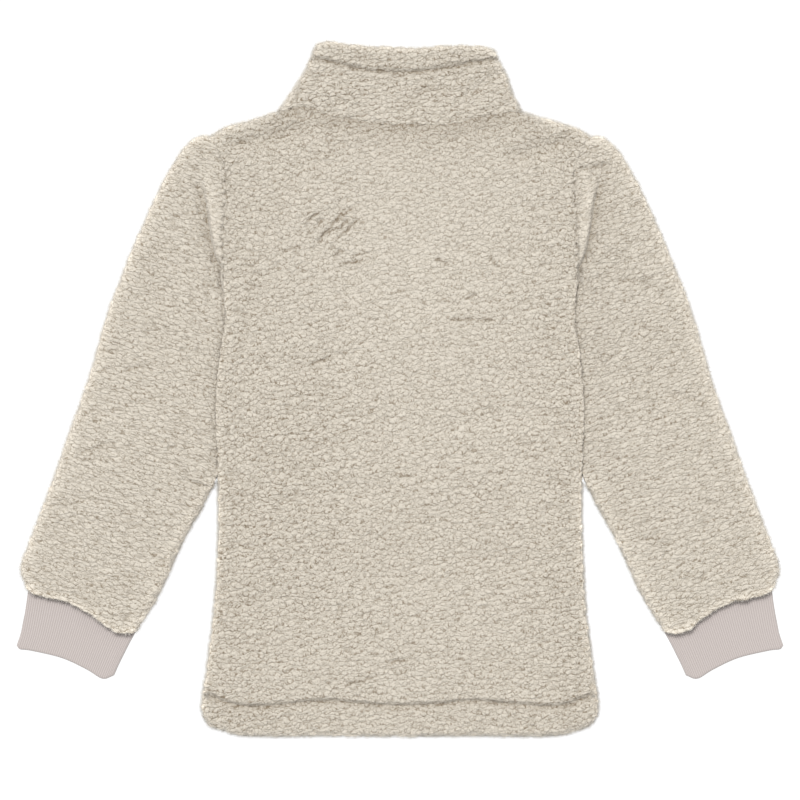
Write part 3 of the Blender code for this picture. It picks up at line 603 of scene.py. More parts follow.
# Painted light along the free edges: below 0 the shade mark makes them lighter. Columns: amount, spread,
# middle
BACK_RIM_PAINTED_LIGHT = [(-0.46, 3.5, 0.0), (-0.1, 6.0, 7.0), (-0.55, 1.2, 0.0)]
SLEEVE_LEAVES_BODY_Y = -92.0
FINE_EDGE = (0.0, 0.5, 1.3, 2.4, 3.8, 5.4, 7.0)
right_side = smooth(BODY_SIDE + ARMHOLE[1:])
left_side = right_side * (-1, 1)
hem = smooth(mirrored(HEM) + HEM[-2::-1])
neck, shoulder = smooth(NECK_SEAM) + (0.0, NECK_SHIFT), smooth(SHOULDER)
body_free = right_side[right_side[:, 1] < SLEEVE_LEAVES_BODY_Y]
body_held = right_side[(right_side[:, 1] > SLEEVE_LEAVES_BODY_Y) & (right_side[:, 1] < UNDERARM_Y)]
neck[[0, -1]] = NECK_SEAM[0], NECK_SEAM[-1]
top_edge = np.vstack([shoulder * (-1, 1), neck[1:-1], shoulder[::-1]])
us = steps(BODY_WIDTH, FINE_EDGE, GRAIN)
vs = steps(BODY_HEIGHT, FINE_EDGE, GRAIN)
back = patch(hem, top_edge, left_side, right_side, us, vs)
back_edges = [(hem, FREE_EDGE), (shoulder, FREE_EDGE), (shoulder * (-1, 1), FREE_EDGE)]
for curve, edge in ((smooth(BODY_SIDE), PRESSED_EDGE), (smooth(ARMHOLE), SEAM_EDGE)):
    back_edges += [(curve, edge), (curve * (-1, 1), edge)]
back_edges.append((neck, NECK_EDGE))
inward = away_from(back, [curve for curve, _ in back_edges])
away = np.clip(inward / BODY_PUFF_REACH, 0, 1)
stitches = smooth(mirrored(HEM_STITCH_LINE) + HEM_STITCH_LINE[-2::-1]) - (0.0, HEM_STITCH["down"])
furrow = stitch_furrow(back, stitches, HEM_STITCH)
lift = UPPER_TOP + (BODY_PUFF + billow(back)) * away + folds_on(back, BACK_FOLDS) * away**0.5
lift += folds_on(back, BACK_CREASES) - np.maximum(edge_drop(back, back_edges), furrow)
armholes = (smooth(ARMHOLE), smooth(ARMHOLE) * (-1, 1))
lift -= PUCKER["depth"] * sum(puckers(back, armhole) for armhole in armholes)
laid = with_height(back, lift)
x, y = back[..., 0], back[..., 1]
calm = spot(back, *CALM_PATCH)
sides = np.exp(-((200.0 - np.abs(x)) / 38.0)) + 0.6 * spot(back, *ROUGH_PATCH)
tousle = TOUSLE["even"] + TOUSLE["sides"] * sides + TOUSLE["calm"] * calm
tousle = np.clip(tousle + TOUSLE["blotches"] * (blotches(back, 46.0, 17) - 0.5), 0.04, 1.0)
low = np.clip(-(y + 60.0) / 90.0, 0, 1)
slant_left, slant_right = (spot(back, *patch_row) for patch_row in SLANT_PATCHES)
fields, places = zip(*(pile_lines(laid, *lie) for lie in BACK_LIES))
place = places[0]
slant = np.maximum(slant_left, slant_right)
weights = (1.15 - low - 0.8 * slant, 1.3 * low, 1.5 * slant_left, 1.5 * slant_right)
weights = [np.clip(weight, 0.05, None) for weight in weights]
height, marks = curls(blended(fields, weights), place, tousle)
neck_away = distance_to(back, neck[::6])
stitch_away = distance_to(back, stitches[::6])
pits = sum(puckers(back, armhole, PUCKER["shade_spread"]) for armhole in armholes)
painted_creases = crease_painted_shade(back, BACK_CREASES, 50)
troughs = folds_on(back, BACK_FOLDS[:2]) / BACK_FOLDS[0][5]
# Painted shade and painted light of the back, summed into the shade mark
neck_line = bell(neck_away, 2.2) * (0.65 + 0.9 * noise(place / 4.0, 29))
shade = BACK_PAINTED_SHADE["neck"] * np.exp(-neck_away / BACK_PAINTED_SHADE["neck_reach"])
shade += BACK_PAINTED_SHADE["neck_line"] * neck_line + BACK_PAINTED_SHADE["stitch"] * bell(stitch_away, 2.6)
shade += PUCKER["shade"] * pits + BACK_PAINTED_SHADE["crease"] * painted_creases + BACK_PAINTED_SHADE["trough"] * troughs
shade += BACK_PAINTED_SHADE["low"] * low + BACK_PAINTED_SHADE["hem"] * np.clip(-(y + 343.0) / 4.0, 0, 1)
free_curves = [hem, shoulder, shoulder * (-1, 1), body_free, body_free * (-1, 1)]
rim_away = away_from(back, free_curves)
beside_away = away_from(back, (body_held, body_held * (-1, 1)))
shade += banded(rim_away, BACK_RIM_PAINTED_LIGHT) - BACK_PAINTED_SHADE["beside"] * bell(beside_away, 6.0)
marks["shade"] = shade
height += LUMP * np.exp(-rim_away / LUMP_REACH) * noise(place / LUMP_SIZE, 27)
height -= INSET * bell(rim_away, INSET_REACH)
back_outer = laid + outward(laid) * height[..., None]
back_piece = panel_piece("back_panel", back_outer, UPPER_BASE, marks)
dress(back_piece, FLEECE, "sherpa_fleece", "back")


# Fronts
# The two fronts lie face down under the back: sherpa again, one each side of the zip, with
# their pile pressed flat where it rests. They are sewn to the back and to the zip's tapes.

ZIP_EDGE = 10.0
FRONT_WIDTH = 196.0
FRONT_NECK = [(10.0, 222.0), (45.0, 227.0), (90.0, 254.0), (131.8, 299.4)]
UNDER_GRAIN = 3.2
UNDER_STEPS = (0.0, 1.2, 3.2, 6.4)
PRESSED = 0.6


def pressed_pile(height, rise):
    """The pile where it rests: its domes flattened level, and its full height where the edge lifts."""
    free = np.clip(rise / UNDER_EDGE["drop"], 0, 1)
    level = np.minimum(height - 0.3 * CURL["dome"], 0) * PRESSED
    return level * (1 - free) + height * free


front_hem = smooth([(ZIP_EDGE, -376.4)] + HEM[-2::-1])
neckline = smooth(FRONT_NECK)
front_top = np.vstack([neckline, shoulder[::-1][1:]])
zip_edge = np.array([front_hem[0], front_top[0]])
us = steps(FRONT_WIDTH, UNDER_STEPS, UNDER_GRAIN)
vs = steps(BODY_HEIGHT, UNDER_STEPS, UNDER_GRAIN)
front = patch(front_hem, front_top, zip_edge, right_side, us, vs)
front_edges = [(right_side, UNDER_EDGE), (front_hem, UNDER_EDGE), (shoulder[::-1], UNDER_EDGE)]
front_edges.append((np.linspace(zip_edge[0], zip_edge[1], 9), SEAM_EDGE))
rise = edge_drop(front, front_edges)
for name, sign, seed in (("front_right", 1, 40), ("front_left", -1, 60)):
    laid = with_height(front * (sign, 1), rise)
    lines, place = pile_lines(laid, 0.1 * sign, 1.2, seed)
    height, marks = curls(lines, place, 0.35 + 0.3 * blotches(front, 40.0, seed))
    # Painted shade: the shade mark darkens the fronts a little, evenly
    marks["shade"] = np.full(height.shape, 0.05)
    facing = -outward(laid) * sign
    outer = laid + facing * pressed_pile(height, rise)[..., None]
    piece = panel_piece(name + "_panel", outer, LAYER, marks)
    dress(piece, FLEECE, "sherpa_fleece", name)

# Sleeves
# Each sleeve is one piece of sherpa closed into a tube by its underarm seam, set into the
# armhole and pressed against the body's side down to a little above the waist.

SLEEVE_OUTER = [
    (-205.5, 273.0), (-215.0, 272.9), (-224.6, 268.3), (-238.4, 254.3), (-257.7, 221.0),
    (-279.7, 173.3), (-301.8, 120.4), (-318.3, 75.0), (-337.5, 9.2), (-358.0, -48.0),
    (-375.8, -99.4), (-401.0, -166.0), (-410.5, -195.0), (-403.1, -216.5),
]
SLEEVE_INNER_FREE = [
    (-204.5, -110.0), (-214.9, -131.2), (-233.3, -163.6), (-248.4, -197.1),
    (-263.5, -228.4), (-285.5, -262.5),
]
SLEEVE_END = [
    (-403.1, -216.5), (-388.0, -223.5), (-359.3, -229.7), (-334.5, -242.0),
    (-314.0, -257.5), (-300.0, -263.5), (-285.5, -262.5),
]
SLEEVE_PUFF, SLEEVE_PUFF_REACH = 2.0, 30.0
SLEEVE_WIDTH, SLEEVE_LENGTH = 130.0, 465.0
TUBE_SLIT = 0.6
END_BULGE = 1.6
# Painted shade of the sleeves, in the shade mark: along the head fold, beside the body and in the creases.
# strip and end, taken off, are painted light on the strip by the head fold and at the sleeve's end
SLEEVE_PAINTED_SHADE = {"fold": 0.608, "beside": 0.285, "reach": 5.0, "strip": 0.1, "end": 0.26, "crease": 0.55}
# Painted light along the sleeves' free edges. Columns: amount, spread, middle
SLEEVE_RIM_PAINTED_LIGHT = [(-0.46, 3.5, 0.0), (-0.1, 6.0, 7.0), (-0.45, 1.2, 0.0)]

# The fold at the front of the armhole: the sleeve slopes down to it and the head's pile stands over it
HEAD_FOLD = [
    (-216.5, 231.0), (-214.9, 218.7), (-210.6, 198.2), (-206.3, 169.0), (-200.9, 144.2),
    (-194.4, 130.1), (-190.5, 112.0),
]
HEAD_FOLD_DEPTH = 5.5
HEAD_FOLD_SLOPE = 8.0
HEAD_FOLD_STEP = 2.2
HEAD_FOLD_FADE = 22.0

# Soft folds of both sleeves, on the left one. Columns: side, x1, y1, x2, y2, height, spread
SLEEVE_FOLDS = [
    ("both", -205.0, 222.0, -198.0, 160.0, 2.4, 6.0),
    ("both", -240.0, 215.0, -226.0, 150.0, 0.8, 14.0),
    ("both", -262.0, 165.0, -228.0, 128.0, -0.5, 9.0),
    ("both", -305.0, 98.0, -240.0, 112.0, -0.4, 9.0),
    ("both", -318.0, 40.0, -252.0, 62.0, -0.4, 10.0),
    ("both", -340.0, -25.0, -262.0, 5.0, -0.5, 10.0),
    ("both", -366.0, -95.0, -290.0, -62.0, -0.4, 10.0),
    ("both", -385.0, -160.0, -318.0, -142.0, -0.4, 9.0),
]
SLEEVE_CREASES = [
    ("right", 195.0, 237.5, 224.5, 240.5, -3.0, 2.2),
    ("left", -208.0, -107.0, -232.0, -98.0, -2.2, 2.0),
    ("left", -262.0, 146.0, -238.0, 150.0, -1.4, 1.5),
    ("right", 250.0, 118.0, 276.0, 112.0, -1.4, 1.5),
    ("left", -300.0, 18.0, -270.0, 27.0, -1.4, 1.5),
    ("right", 288.0, -2.0, 318.0, -12.0, -1.4, 1.6),
    ("left", -345.0, -70.0, -310.0, -58.0, -1.5, 1.6),
    ("right", 322.0, -118.0, 350.0, -126.0, -1.4, 1.5),
]


def tube_piece(name, outer, inner, marks):
    """A flattened tube of cloth: rings of a curly outer and a plain inner face, joined at both ends."""
    rows, columns = outer.shape[:2]
    inner_rows = inner.shape[0]
    base = rows * columns
    k = np.arange(columns)
    n = (k + 1) % columns
    faces = [grid_quads(rows, columns, closed=True), grid_quads(inner_rows, columns, base, True)[:, ::-1]]
    top, inner_top = base - columns, base + (inner_rows - 1) * columns
    faces.append(np.stack([n, k, base + k, base + n], axis=1))
    faces.append(np.stack([top + k, top + n, inner_top + n, inner_top + k], axis=1))
    points = np.vstack([outer.reshape(-1, 3), inner.reshape(-1, 3)])
    return piece_from(name, points, faces, marks)


def ring_of(upper, lower):
    """Closed rings from the upper columns, left to right, and the lower ones back."""
    return np.concatenate([upper, lower[:, ::-1]], axis=1)


body_curve, armhole_curve = smooth(BODY_SIDE), smooth(ARMHOLE)
beside = body_curve[body_curve[:, 1] > SLEEVE_LEAVES_BODY_Y][::-1] * (-1, 1) + (PILE_OVERLAP, 0.0)
sleeve_top = armhole_curve[::-1] * (-1, 1) + (PILE_OVERLAP, 0.0)
beside[0] = sleeve_top[-1]
free_inner = smooth(SLEEVE_INNER_FREE)
inner_edge = np.vstack([beside, free_inner])[::-1]
outer_edge = smooth(SLEEVE_OUTER)[::-1]
outer_edge[-1] = sleeve_top[0]
sleeve_end = smooth(SLEEVE_END)
sleeve_end[0], sleeve_end[-1] = outer_edge[0], inner_edge[0]
us = steps(SLEEVE_WIDTH, FINE_EDGE, GRAIN)
under_us = steps(SLEEVE_WIDTH, UNDER_STEPS, UNDER_GRAIN)
vs = steps(SLEEVE_LENGTH, FINE_EDGE, GRAIN)
upper = patch(sleeve_end, sleeve_top, outer_edge, inner_edge, us, vs)
lower = patch(sleeve_end, sleeve_top, outer_edge, inner_edge, under_us, vs)
sleeve_edges = [(outer_edge, FREE_EDGE), (free_inner, FREE_EDGE), (beside, BESIDE_EDGE)]
sleeve_edges += [(sleeve_top, SEAM_EDGE), (sleeve_end, SEAM_EDGE)]
inward = away_from(upper, [curve for curve, _ in sleeve_edges])
away = np.clip(inward / SLEEVE_PUFF_REACH, 0, 1)
puff = SLEEVE_PUFF * np.sin(np.pi * us)[None] * np.sin(np.pi * np.clip(vs * 1.2, 0, 1) ** 0.7)[:, None]
lift = UPPER_TOP + puff + billow(upper) * away + folds_on(upper, SLEEVE_FOLDS) * away**0.3
lift -= edge_drop(upper, sleeve_edges) + PUCKER["depth"] * puckers(upper, sleeve_top)
rise = edge_drop(lower, [(outer_edge, UNDER_EDGE), (free_inner, UNDER_EDGE)])
away, along_fold, side = nearest(upper, smooth(HEAD_FOLD)[::4])
fade = np.clip(along_fold / HEAD_FOLD_FADE, 0, 1)
fold = np.where(side < 0, np.exp(-away / HEAD_FOLD_SLOPE), bell(away, HEAD_FOLD_STEP))
lift -= HEAD_FOLD_DEPTH * fade * fold
# Painted shade along the head fold, beside the body and in the armhole's pits; painted light on the strip by
# the fold, along the free edges and at the sleeve's end
fold_painted_shade = np.where(side < 0, np.exp(-away / SLEEVE_PAINTED_SHADE["reach"]), bell(away, 1.0)) * fade
beside_away = distance_to(upper, beside[::6])
beside_painted_shade = SLEEVE_PAINTED_SHADE["beside"] * np.exp(-beside_away / SLEEVE_PAINTED_SHADE["reach"])
sleeve_painted_shade = np.maximum(SLEEVE_PAINTED_SHADE["fold"] * fold_painted_shade, beside_painted_shade)
sleeve_painted_shade += PUCKER["shade"] * puckers(upper, sleeve_top, PUCKER["shade_spread"])
strip = np.where(side > 0, bell(away - 8.0, 8.0), 0) * fade
rim_away = away_from(upper, (outer_edge, free_inner))
end_away = distance_to(upper, sleeve_end[::6])
sleeve_painted_shade += banded(rim_away, SLEEVE_RIM_PAINTED_LIGHT) - SLEEVE_PAINTED_SHADE["strip"] * strip
sleeve_painted_shade -= SLEEVE_PAINTED_SHADE["end"] * bell(end_away, 4.0)
sleeve_lumps = LUMP * np.exp(-np.minimum(rim_away, end_away) / LUMP_REACH)
sleeve_inset = INSET * bell(rim_away, INSET_REACH)
bulge = END_BULGE * bell(end_away, 4.0)
wall = LAYER / SLEEVE_WIDTH
slit_vs = np.linspace(0.007, 0.993, 9)
slit_upper, slit_lower = (
    patch(sleeve_end, sleeve_top, outer_edge, inner_edge, wall + (1 - 2 * wall) * share, slit_vs)
    for share in (us, under_us)
)
slit_lift = 0.8 * SLEEVE_PUFF * np.sin(np.pi * us)[None] * np.sin(np.pi * slit_vs)[:, None]
slit = ring_of(
    with_height(slit_upper, MIDDLE + 0.5 * TUBE_SLIT + slit_lift),
    with_height(slit_lower, MIDDLE - 0.5 * TUBE_SLIT),
)
for name, sign, seed in (("sleeve_left", 1, 80), ("sleeve_right", -1, 100)):
    place = upper * (sign, 1)
    creases = [row for row in SLEEVE_CREASES if row[0] == ("left" if sign > 0 else "right")]
    top_face = with_height(place, lift + folds_on(place, SLEEVE_CREASES))
    laid = ring_of(top_face, with_height(lower * (sign, 1), rise))
    lower_lines, place = pile_lines(laid, -sign * np.radians(16.0), 1.5, seed)
    upper_lines, _ = pile_lines(laid, -sign * np.radians(36.0), 1.6, seed + 5)
    upper_share = np.clip((laid[..., 1] + 20.0) / 180.0, 0.02, 0.98)
    lines = blended((lower_lines, upper_lines), (1 - upper_share, upper_share))
    tousle = 0.36 + 0.1 * blotches(laid, 42.0, seed)
    tousle[:, : len(us)] *= 1 - 0.6 * strip
    height, marks = curls(lines, place, tousle)
    lumps = sleeve_lumps * noise(place[:, : len(us)] / LUMP_SIZE, seed + 3)
    height[:, : len(us)] += bulge - sleeve_inset + lumps
    height[:, len(us) :] = pressed_pile(height[:, len(us) :], rise[:, ::-1])
    marks["shade"] = np.zeros(height.shape)
    # The sleeve's painted shade, with more in its creases, goes into the shade mark of its top face
    painted_creases = crease_painted_shade(upper * (sign, 1), creases, seed + 7)
    marks["shade"][:, : len(us)] = sleeve_painted_shade + SLEEVE_PAINTED_SHADE["crease"] * painted_creases
    outer = laid + sign * outward(laid, closed=True) * height[..., None]
    outer[..., 2] = np.maximum(outer[..., 2], 0.0)
    piece = tube_piece(name + "_tube", outer, slit * (sign, 1, 1), marks)
    dress(piece, FLEECE, "sherpa_fleece", name)

# Cuffs
# Each cuff is a tube of fine rib knit, folded double along its lower edge and sewn into the
# sleeve's end. The ribs run along the arm.

CUFF_OUTER = [(-402.6, -218.2), (-405.0, -236.0), (-409.5, -261.0), (-414.9, -278.0)]
CUFF_INNER = [(-286.5, -264.2), (-293.0, -276.0), (-304.0, -298.0), (-309.6, -310.5)]
CUFF_END = [
    (-414.9, -278.0), (-411.0, -282.2), (-399.0, -283.8), (-366.0, -291.7),
    (-339.4, -304.0), (-322.0, -314.0), (-309.6, -310.5),
]
CUFF_WIDTH = 112.0
CUFF_WALL = 2.6
CUFF_SLIT = 0.6
CUFF_TUCK = 0.8
CUFF_HEIGHT = 2.0 * CUFF_WALL + CUFF_SLIT
CUFF_EDGE = {"reach": 3.0, "drop": 2.2}
RIB_COUNT = 50
RIB_DEPTH = 0.4
STITCH_DEPTH = 0.03
STITCH_ROW = 1.9
STITCH_SLANT = 1.6
# How strongly the ribs' and stitch vees' painted shade, and the fuzz's random tone, mark the colour
RIB_SHADE, STITCH_SHADE, FUZZ_SHADE = 0.42, 0.03, 0.3
CUFF_LENGTH = 60.0


def rib_material(name, crest, groove):
    """Rib knit: painted light on the crests, painted shade in the grooves, and the vees of the stitches as
    bump and painted shade.
    """
    surface = {"Roughness": 0.9, "Specular IOR Level": 0.2, "Sheen Weight": 0.2}
    material, tree, shader = new_material(name, surface)
    times, plus, less = (partial(math, tree, name) for name in ("MULTIPLY", "ADD", "SUBTRACT"))
    rib = attribute(tree, "rib")
    crest_wave = math(tree, "COSINE", times(rib, 2 * np.pi))
    vee = math(tree, "ABSOLUTE", less(math(tree, "FRACT", rib), 0.5))
    turn = plus(math(tree, "DIVIDE", attribute(tree, "row"), STITCH_ROW), times(vee, -STITCH_SLANT))
    stitch = math(tree, "COSINE", times(turn, 2 * np.pi))
    fuzz = texture(tree, 900.0, 3.0)
    share = plus(times(crest_wave, -RIB_SHADE), times(stitch, STITCH_SHADE))
    share = plus(plus(share, RIB_SHADE), times(less(fuzz, 0.5), FUZZ_SHADE))
    normal = bump(tree, plus(stitch, fuzz), 0.35, 0.0001)
    wire(tree, shader, {"Base Color": mixed(tree, share, groove, crest), "Normal": normal})
    return material


# The first colour is the crests' painted light, the second the grooves' painted shade
RIB_KNIT = rib_material("rib_knit", (0.502, 0.454, 0.434), (0.385, 0.34, 0.322))
over_cuff = (sleeve_end[:, 0] > CUFF_OUTER[0][0]) & (sleeve_end[:, 0] < CUFF_INNER[0][0])
top = sleeve_end[over_cuff] + (0.0, CUFF_TUCK)
cuff_outer_edge, cuff_inner_edge = smooth(CUFF_OUTER)[::-1], smooth(CUFF_INNER)[::-1]
top[0], top[-1] = cuff_outer_edge[-1], cuff_inner_edge[-1]
cuff_end = smooth(CUFF_END)
us = np.linspace(0, 1, 6 * RIB_COUNT + 1)
vs = np.concatenate([[0.0, 0.008, 0.02, 0.04], np.linspace(0.06, 1.0, 60)])
cuff_upper = patch(cuff_end, top, cuff_outer_edge, cuff_inner_edge, us, vs)
cuff_lower = patch(cuff_end, top, cuff_outer_edge, cuff_inner_edge, us[::2], vs)
cuff_edges = [(cuff_outer_edge, CUFF_EDGE), (cuff_inner_edge, CUFF_EDGE), (cuff_end, CUFF_EDGE)]
rib_phase = us * RIB_COUNT
groove = (0.5 + 0.5 * np.cos(2 * np.pi * rib_phase)) ** 1.5
start = np.clip(vs / 0.03, 0, 1)[:, None]
row_mm = vs * CUFF_LENGTH
vee = np.abs(rib_phase % 1 - 0.5)[None]
stitch = STITCH_DEPTH * np.cos(2 * np.pi * (row_mm[:, None] / STITCH_ROW - STITCH_SLANT * vee))
cuff_lift = CUFF_HEIGHT - np.maximum(edge_drop(cuff_upper, cuff_edges), RIB_DEPTH * groove * start)
cuff_lift += (stitch - STITCH_DEPTH) * start
under_lift = 0.5 * edge_drop(cuff_lower, cuff_edges) + 0.4 * RIB_DEPTH * (groove[::2] * start)
wall = CUFF_WALL / CUFF_WIDTH
cuff_slit_upper, cuff_slit_lower = (
    patch(cuff_end, top, cuff_outer_edge, cuff_inner_edge, wall + (1 - 2 * wall) * share, (0.0, 1.0))
    for share in (us, us[::2])
)
cuff_slit = ring_of(
    with_height(cuff_slit_upper, CUFF_WALL + CUFF_SLIT), with_height(cuff_slit_lower, CUFF_WALL)
)
rib_mark = np.concatenate([rib_phase, rib_phase[::-2]])[None].repeat(len(vs), axis=0)
row_mark = row_mm[:, None].repeat(rib_mark.shape[1], axis=1)
for name, sign in (("cuff_left", 1), ("cuff_right", -1)):
    outer = ring_of(with_height(cuff_upper, cuff_lift), with_height(cuff_lower, under_lift))
    marks = {"rib": rib_mark, "row": row_mark}
    piece = tube_piece(name + "_tube", outer * (sign, 1, 1), cuff_slit * (sign, 1, 1), marks)
    dress(piece, RIB_KNIT, "rib_knit", name)

# Collar
# The collar is one band of sherpa, stitched a little below its top edge. As it lies it folds
# at both sides, so its back shows and its two ends lie below it and meet at the zip.

COLLAR_LEFT = [(-131.8, 299.7), (-121.3, 316.0), (-104.5, 343.0), (-96.5, 360.0), (-91.0, 373.0)]
COLLAR_RIGHT = [(131.8, 299.7), (122.0, 321.0), (115.5, 340.0), (108.0, 354.0), (102.0, 366.5)]
COLLAR_TOP = [
    (-91.0, 373.0), (-80.0, 376.52), (-45.0, 372.0), (15.0, 369.4), (52.0, 372.2),
    (90.0, 370.7), (102.0, 366.5),
]
COLLAR_STITCH_LINE = [
    (-96.0, 358.7), (-69.0, 352.6), (-36.7, 344.8), (8.6, 342.6), (50.8, 347.8),
    (106.0, 357.5),
]
FRONT_COLLAR_TOP_DROP = [(0.0, 66.0), (0.4, 58.0), (0.75, 28.0), (1.0, 0.0)]
COLLAR_WIDTH, COLLAR_HEIGHT, COLLAR_END_WIDTH, COLLAR_MEAN_WIDTH = 276.0, 82.0, 170.0, 220.0
COLLAR_STITCH = {"depth": 4.2, "above": 2.2, "below": 2.8, "down": 1.5}
FOLD_STEP = 0.3
COLLAR_FOLDS = [
    ("right", 70.0, 316.0, 110.0, 342.0, -1.8, 5.0),
    ("left", -104.0, 322.0, -40.0, 316.0, 1.2, 14.0),
]


def strip_piece(name, outer, inner, marks):
    """A folded strip of cloth: a curly outer and a plain inner face, joined round all four edges."""
    rows, columns = outer.shape[:2]
    base = rows * columns
    rim = rim_of(rows, columns)
    after = np.roll(rim, -1)
    wall = np.stack([after, rim, base + rim, base + after], axis=1)
    faces = [grid_quads(rows, columns), grid_quads(rows, columns, base)[:, ::-1], wall]
    points = np.vstack([outer.reshape(-1, 3), inner.reshape(-1, 3)])
    return piece_from(name, points, faces, marks)


collar_neck = neck - (0.0, PILE_OVERLAP)
collar_left, collar_right, collar_top = smooth(COLLAR_LEFT), smooth(COLLAR_RIGHT), smooth(COLLAR_TOP)
collar_left[0], collar_right[0] = collar_neck[0], collar_neck[-1]
us = steps(COLLAR_WIDTH, FINE_EDGE, GRAIN)
vs = steps(COLLAR_HEIGHT, FINE_EDGE, GRAIN)
collar = patch(collar_neck, collar_top, collar_left, collar_right, us, vs)
collar_edges = [(collar_left, FREE_EDGE), (collar_right, FREE_EDGE), (collar_top, FREE_EDGE)]
collar_edges.append((collar_neck, COLLAR_FOOT))
collar_stitches = smooth(COLLAR_STITCH_LINE) - (0.0, COLLAR_STITCH["down"])
collar_furrow = stitch_furrow(collar, collar_stitches, COLLAR_STITCH)
collar_lift = UPPER_TOP + folds_on(collar, COLLAR_FOLDS)
collar_lift -= np.maximum(edge_drop(collar, collar_edges), collar_furrow)
wall = LAYER / COLLAR_MEAN_WIDTH
set_in = np.clip(vs, 0.035, 0.965)
inside = patch(collar_neck, collar_top, collar_left, collar_right, wall + (1 - 2 * wall) * us, set_in)
outer = [with_height(collar[:, :1], MIDDLE - FOLD_STEP), with_height(collar, collar_lift)]
outer.append(with_height(collar[:, -1:], MIDDLE - FOLD_STEP))
inner = [with_height(inside[:, :1], MIDDLE), with_height(inside, UPPER_BASE)]
inner.append(with_height(inside[:, -1:], MIDDLE))
under_us = steps(COLLAR_END_WIDTH, UNDER_STEPS, UNDER_GRAIN)
collar_rise = []
for side_curve, sign in ((collar_left, -1), (collar_right, 1)):
    seam = neckline * (sign, 1) - (0.0, PILE_OVERLAP)
    side_curve[0] = seam[-1]
    share = np.linspace(0, 1, 25)
    drop = np.interp(share, *np.array(FRONT_COLLAR_TOP_DROP).T)
    across = sign * ZIP_EDGE + share * (side_curve[-1, 0] - sign * ZIP_EDGE)
    brim = np.stack([across, side_curve[-1, 1] - drop], axis=-1)
    collar_zip = np.linspace(seam[0], brim[0], 9)
    end = patch(seam, brim, collar_zip, side_curve, under_us, vs)
    edges = [(side_curve, UNDER_EDGE), (np.repeat(brim, 4, axis=0), UNDER_EDGE)]
    rise = edge_drop(end, edges + [(collar_zip, SEAM_EDGE)])
    plain = patch(seam, brim, collar_zip, side_curve, under_us * (1 - 2 * wall), set_in)
    turn = slice(None, None, -sign)
    at = 0 if sign < 0 else len(outer)
    outer.insert(at, with_height(end, rise)[:, turn])
    inner.insert(at, with_height(plain, LAYER)[:, turn])
    collar_rise.append(rise[:, turn])
laid = np.concatenate(outer, axis=1)
lines, place = pile_lines(laid, 0.12, 1.35, 120)
stitch_away = distance_to(laid[..., :2], collar_stitches[::6])
# Painted shade along the collar's stitches and at its foot by the neck seam, painted light along its free
# edges
collar_painted_shade = 0.65 * bell(stitch_away, 2.0)
height, marks = curls(lines, place, 0.38 + 0.25 * blotches(laid, 34.0, 120))
brims = [collar_left, collar_right, collar_top]
rim_away = away_from(laid[..., :2], brims)
foot_away = distance_to(laid[..., :2], collar_neck[::6])
marks["shade"] = collar_painted_shade - 0.36 * bell(rim_away, 5.0) + 0.25 * bell(foot_away, 1.8)
height += LUMP * np.exp(-np.minimum(rim_away, foot_away) / LUMP_REACH) * noise(place / LUMP_SIZE, 127)
height -= INSET * bell(rim_away, INSET_REACH)
count = len(under_us)
height[:, :count] = pressed_pile(height[:, :count], collar_rise[0])
height[:, -count:] = pressed_pile(height[:, -count:], collar_rise[1])
collar_outer = laid + outward(laid) * height[..., None]
collar_piece = strip_piece("collar_band", collar_outer, np.concatenate(inner, axis=1), marks)
dress(collar_piece, FLEECE, "sherpa_fleece", "collar")

# Zip
# The full-length front zip, closed, on the underside: two woven tapes sewn to the fronts, each
# with a cord that carries moulded teeth. The slider and its pull tab keep their solids, enamelled.

TAPE = [(1.4, 4.0), (2.6, 4.0), (2.6, 4.3), (9.7, 4.3), (9.7, 5.3), (2.6, 5.3), (2.6, 5.6), (1.4, 5.6)]
ZIP_LOW, ZIP_HIGH = -371.0, 293.8
TAPE_STEP = 4.0
TOOTH_PITCH = 2.6
TOOTH_STATIONS = [(3.0, 0.36), (0.3, 0.36), (-0.2, 0.56), (-0.75, 0.40)]
TOOTH_DEPTH = (3.9, 5.7)
TAPE_STITCH = {"pitch": 3.0, "length": 2.2, "x": 8.7, "half": 0.2}
TAPE_STITCH["rings"] = ((-1.0, 0.3), (-0.7, 1.0), (0.7, 1.0), (1.0, 0.3))
WEAVE = 0.0008


def bar_piece(name, section, stations):
    """A bar of one cross-section, given in x and z, through stations along y, closed at both ends."""
    section = np.array(section)
    rings = np.stack([np.insert(section, 1, y, axis=1) for y in stations])
    rows, columns = rings.shape[:2]
    first = np.arange(columns)[None]
    ends = [first[:, ::-1], first + (rows - 1) * columns]
    return piece_from(name, rings.reshape(-1, 3), [grid_quads(rows, columns, closed=True), *ends])


def repeated(name, small, rings, columns, offsets):
    """One mesh of many like solids: a small one of stacked rings, moved to each offset along y."""
    count = len(small)
    points = np.repeat(small[None], len(offsets), axis=0)
    points[..., 1] += np.asarray(offsets)[:, None]
    first = np.arange(columns)[None]
    faces = [grid_quads(rings, columns, closed=True), first[:, ::-1], first + (rings - 1) * columns]
    shifts = (count * np.arange(len(offsets)))[:, None, None]
    faces = [(face[None] + shifts).reshape(-1, face.shape[1]) for face in faces]
    return piece_from(name, points.reshape(-1, 3), faces)


def box_ring(x, half, y_half):
    low, high = half
    return [(x, -y_half, low), (x, y_half, low), (x, y_half, high), (x, -y_half, high)]


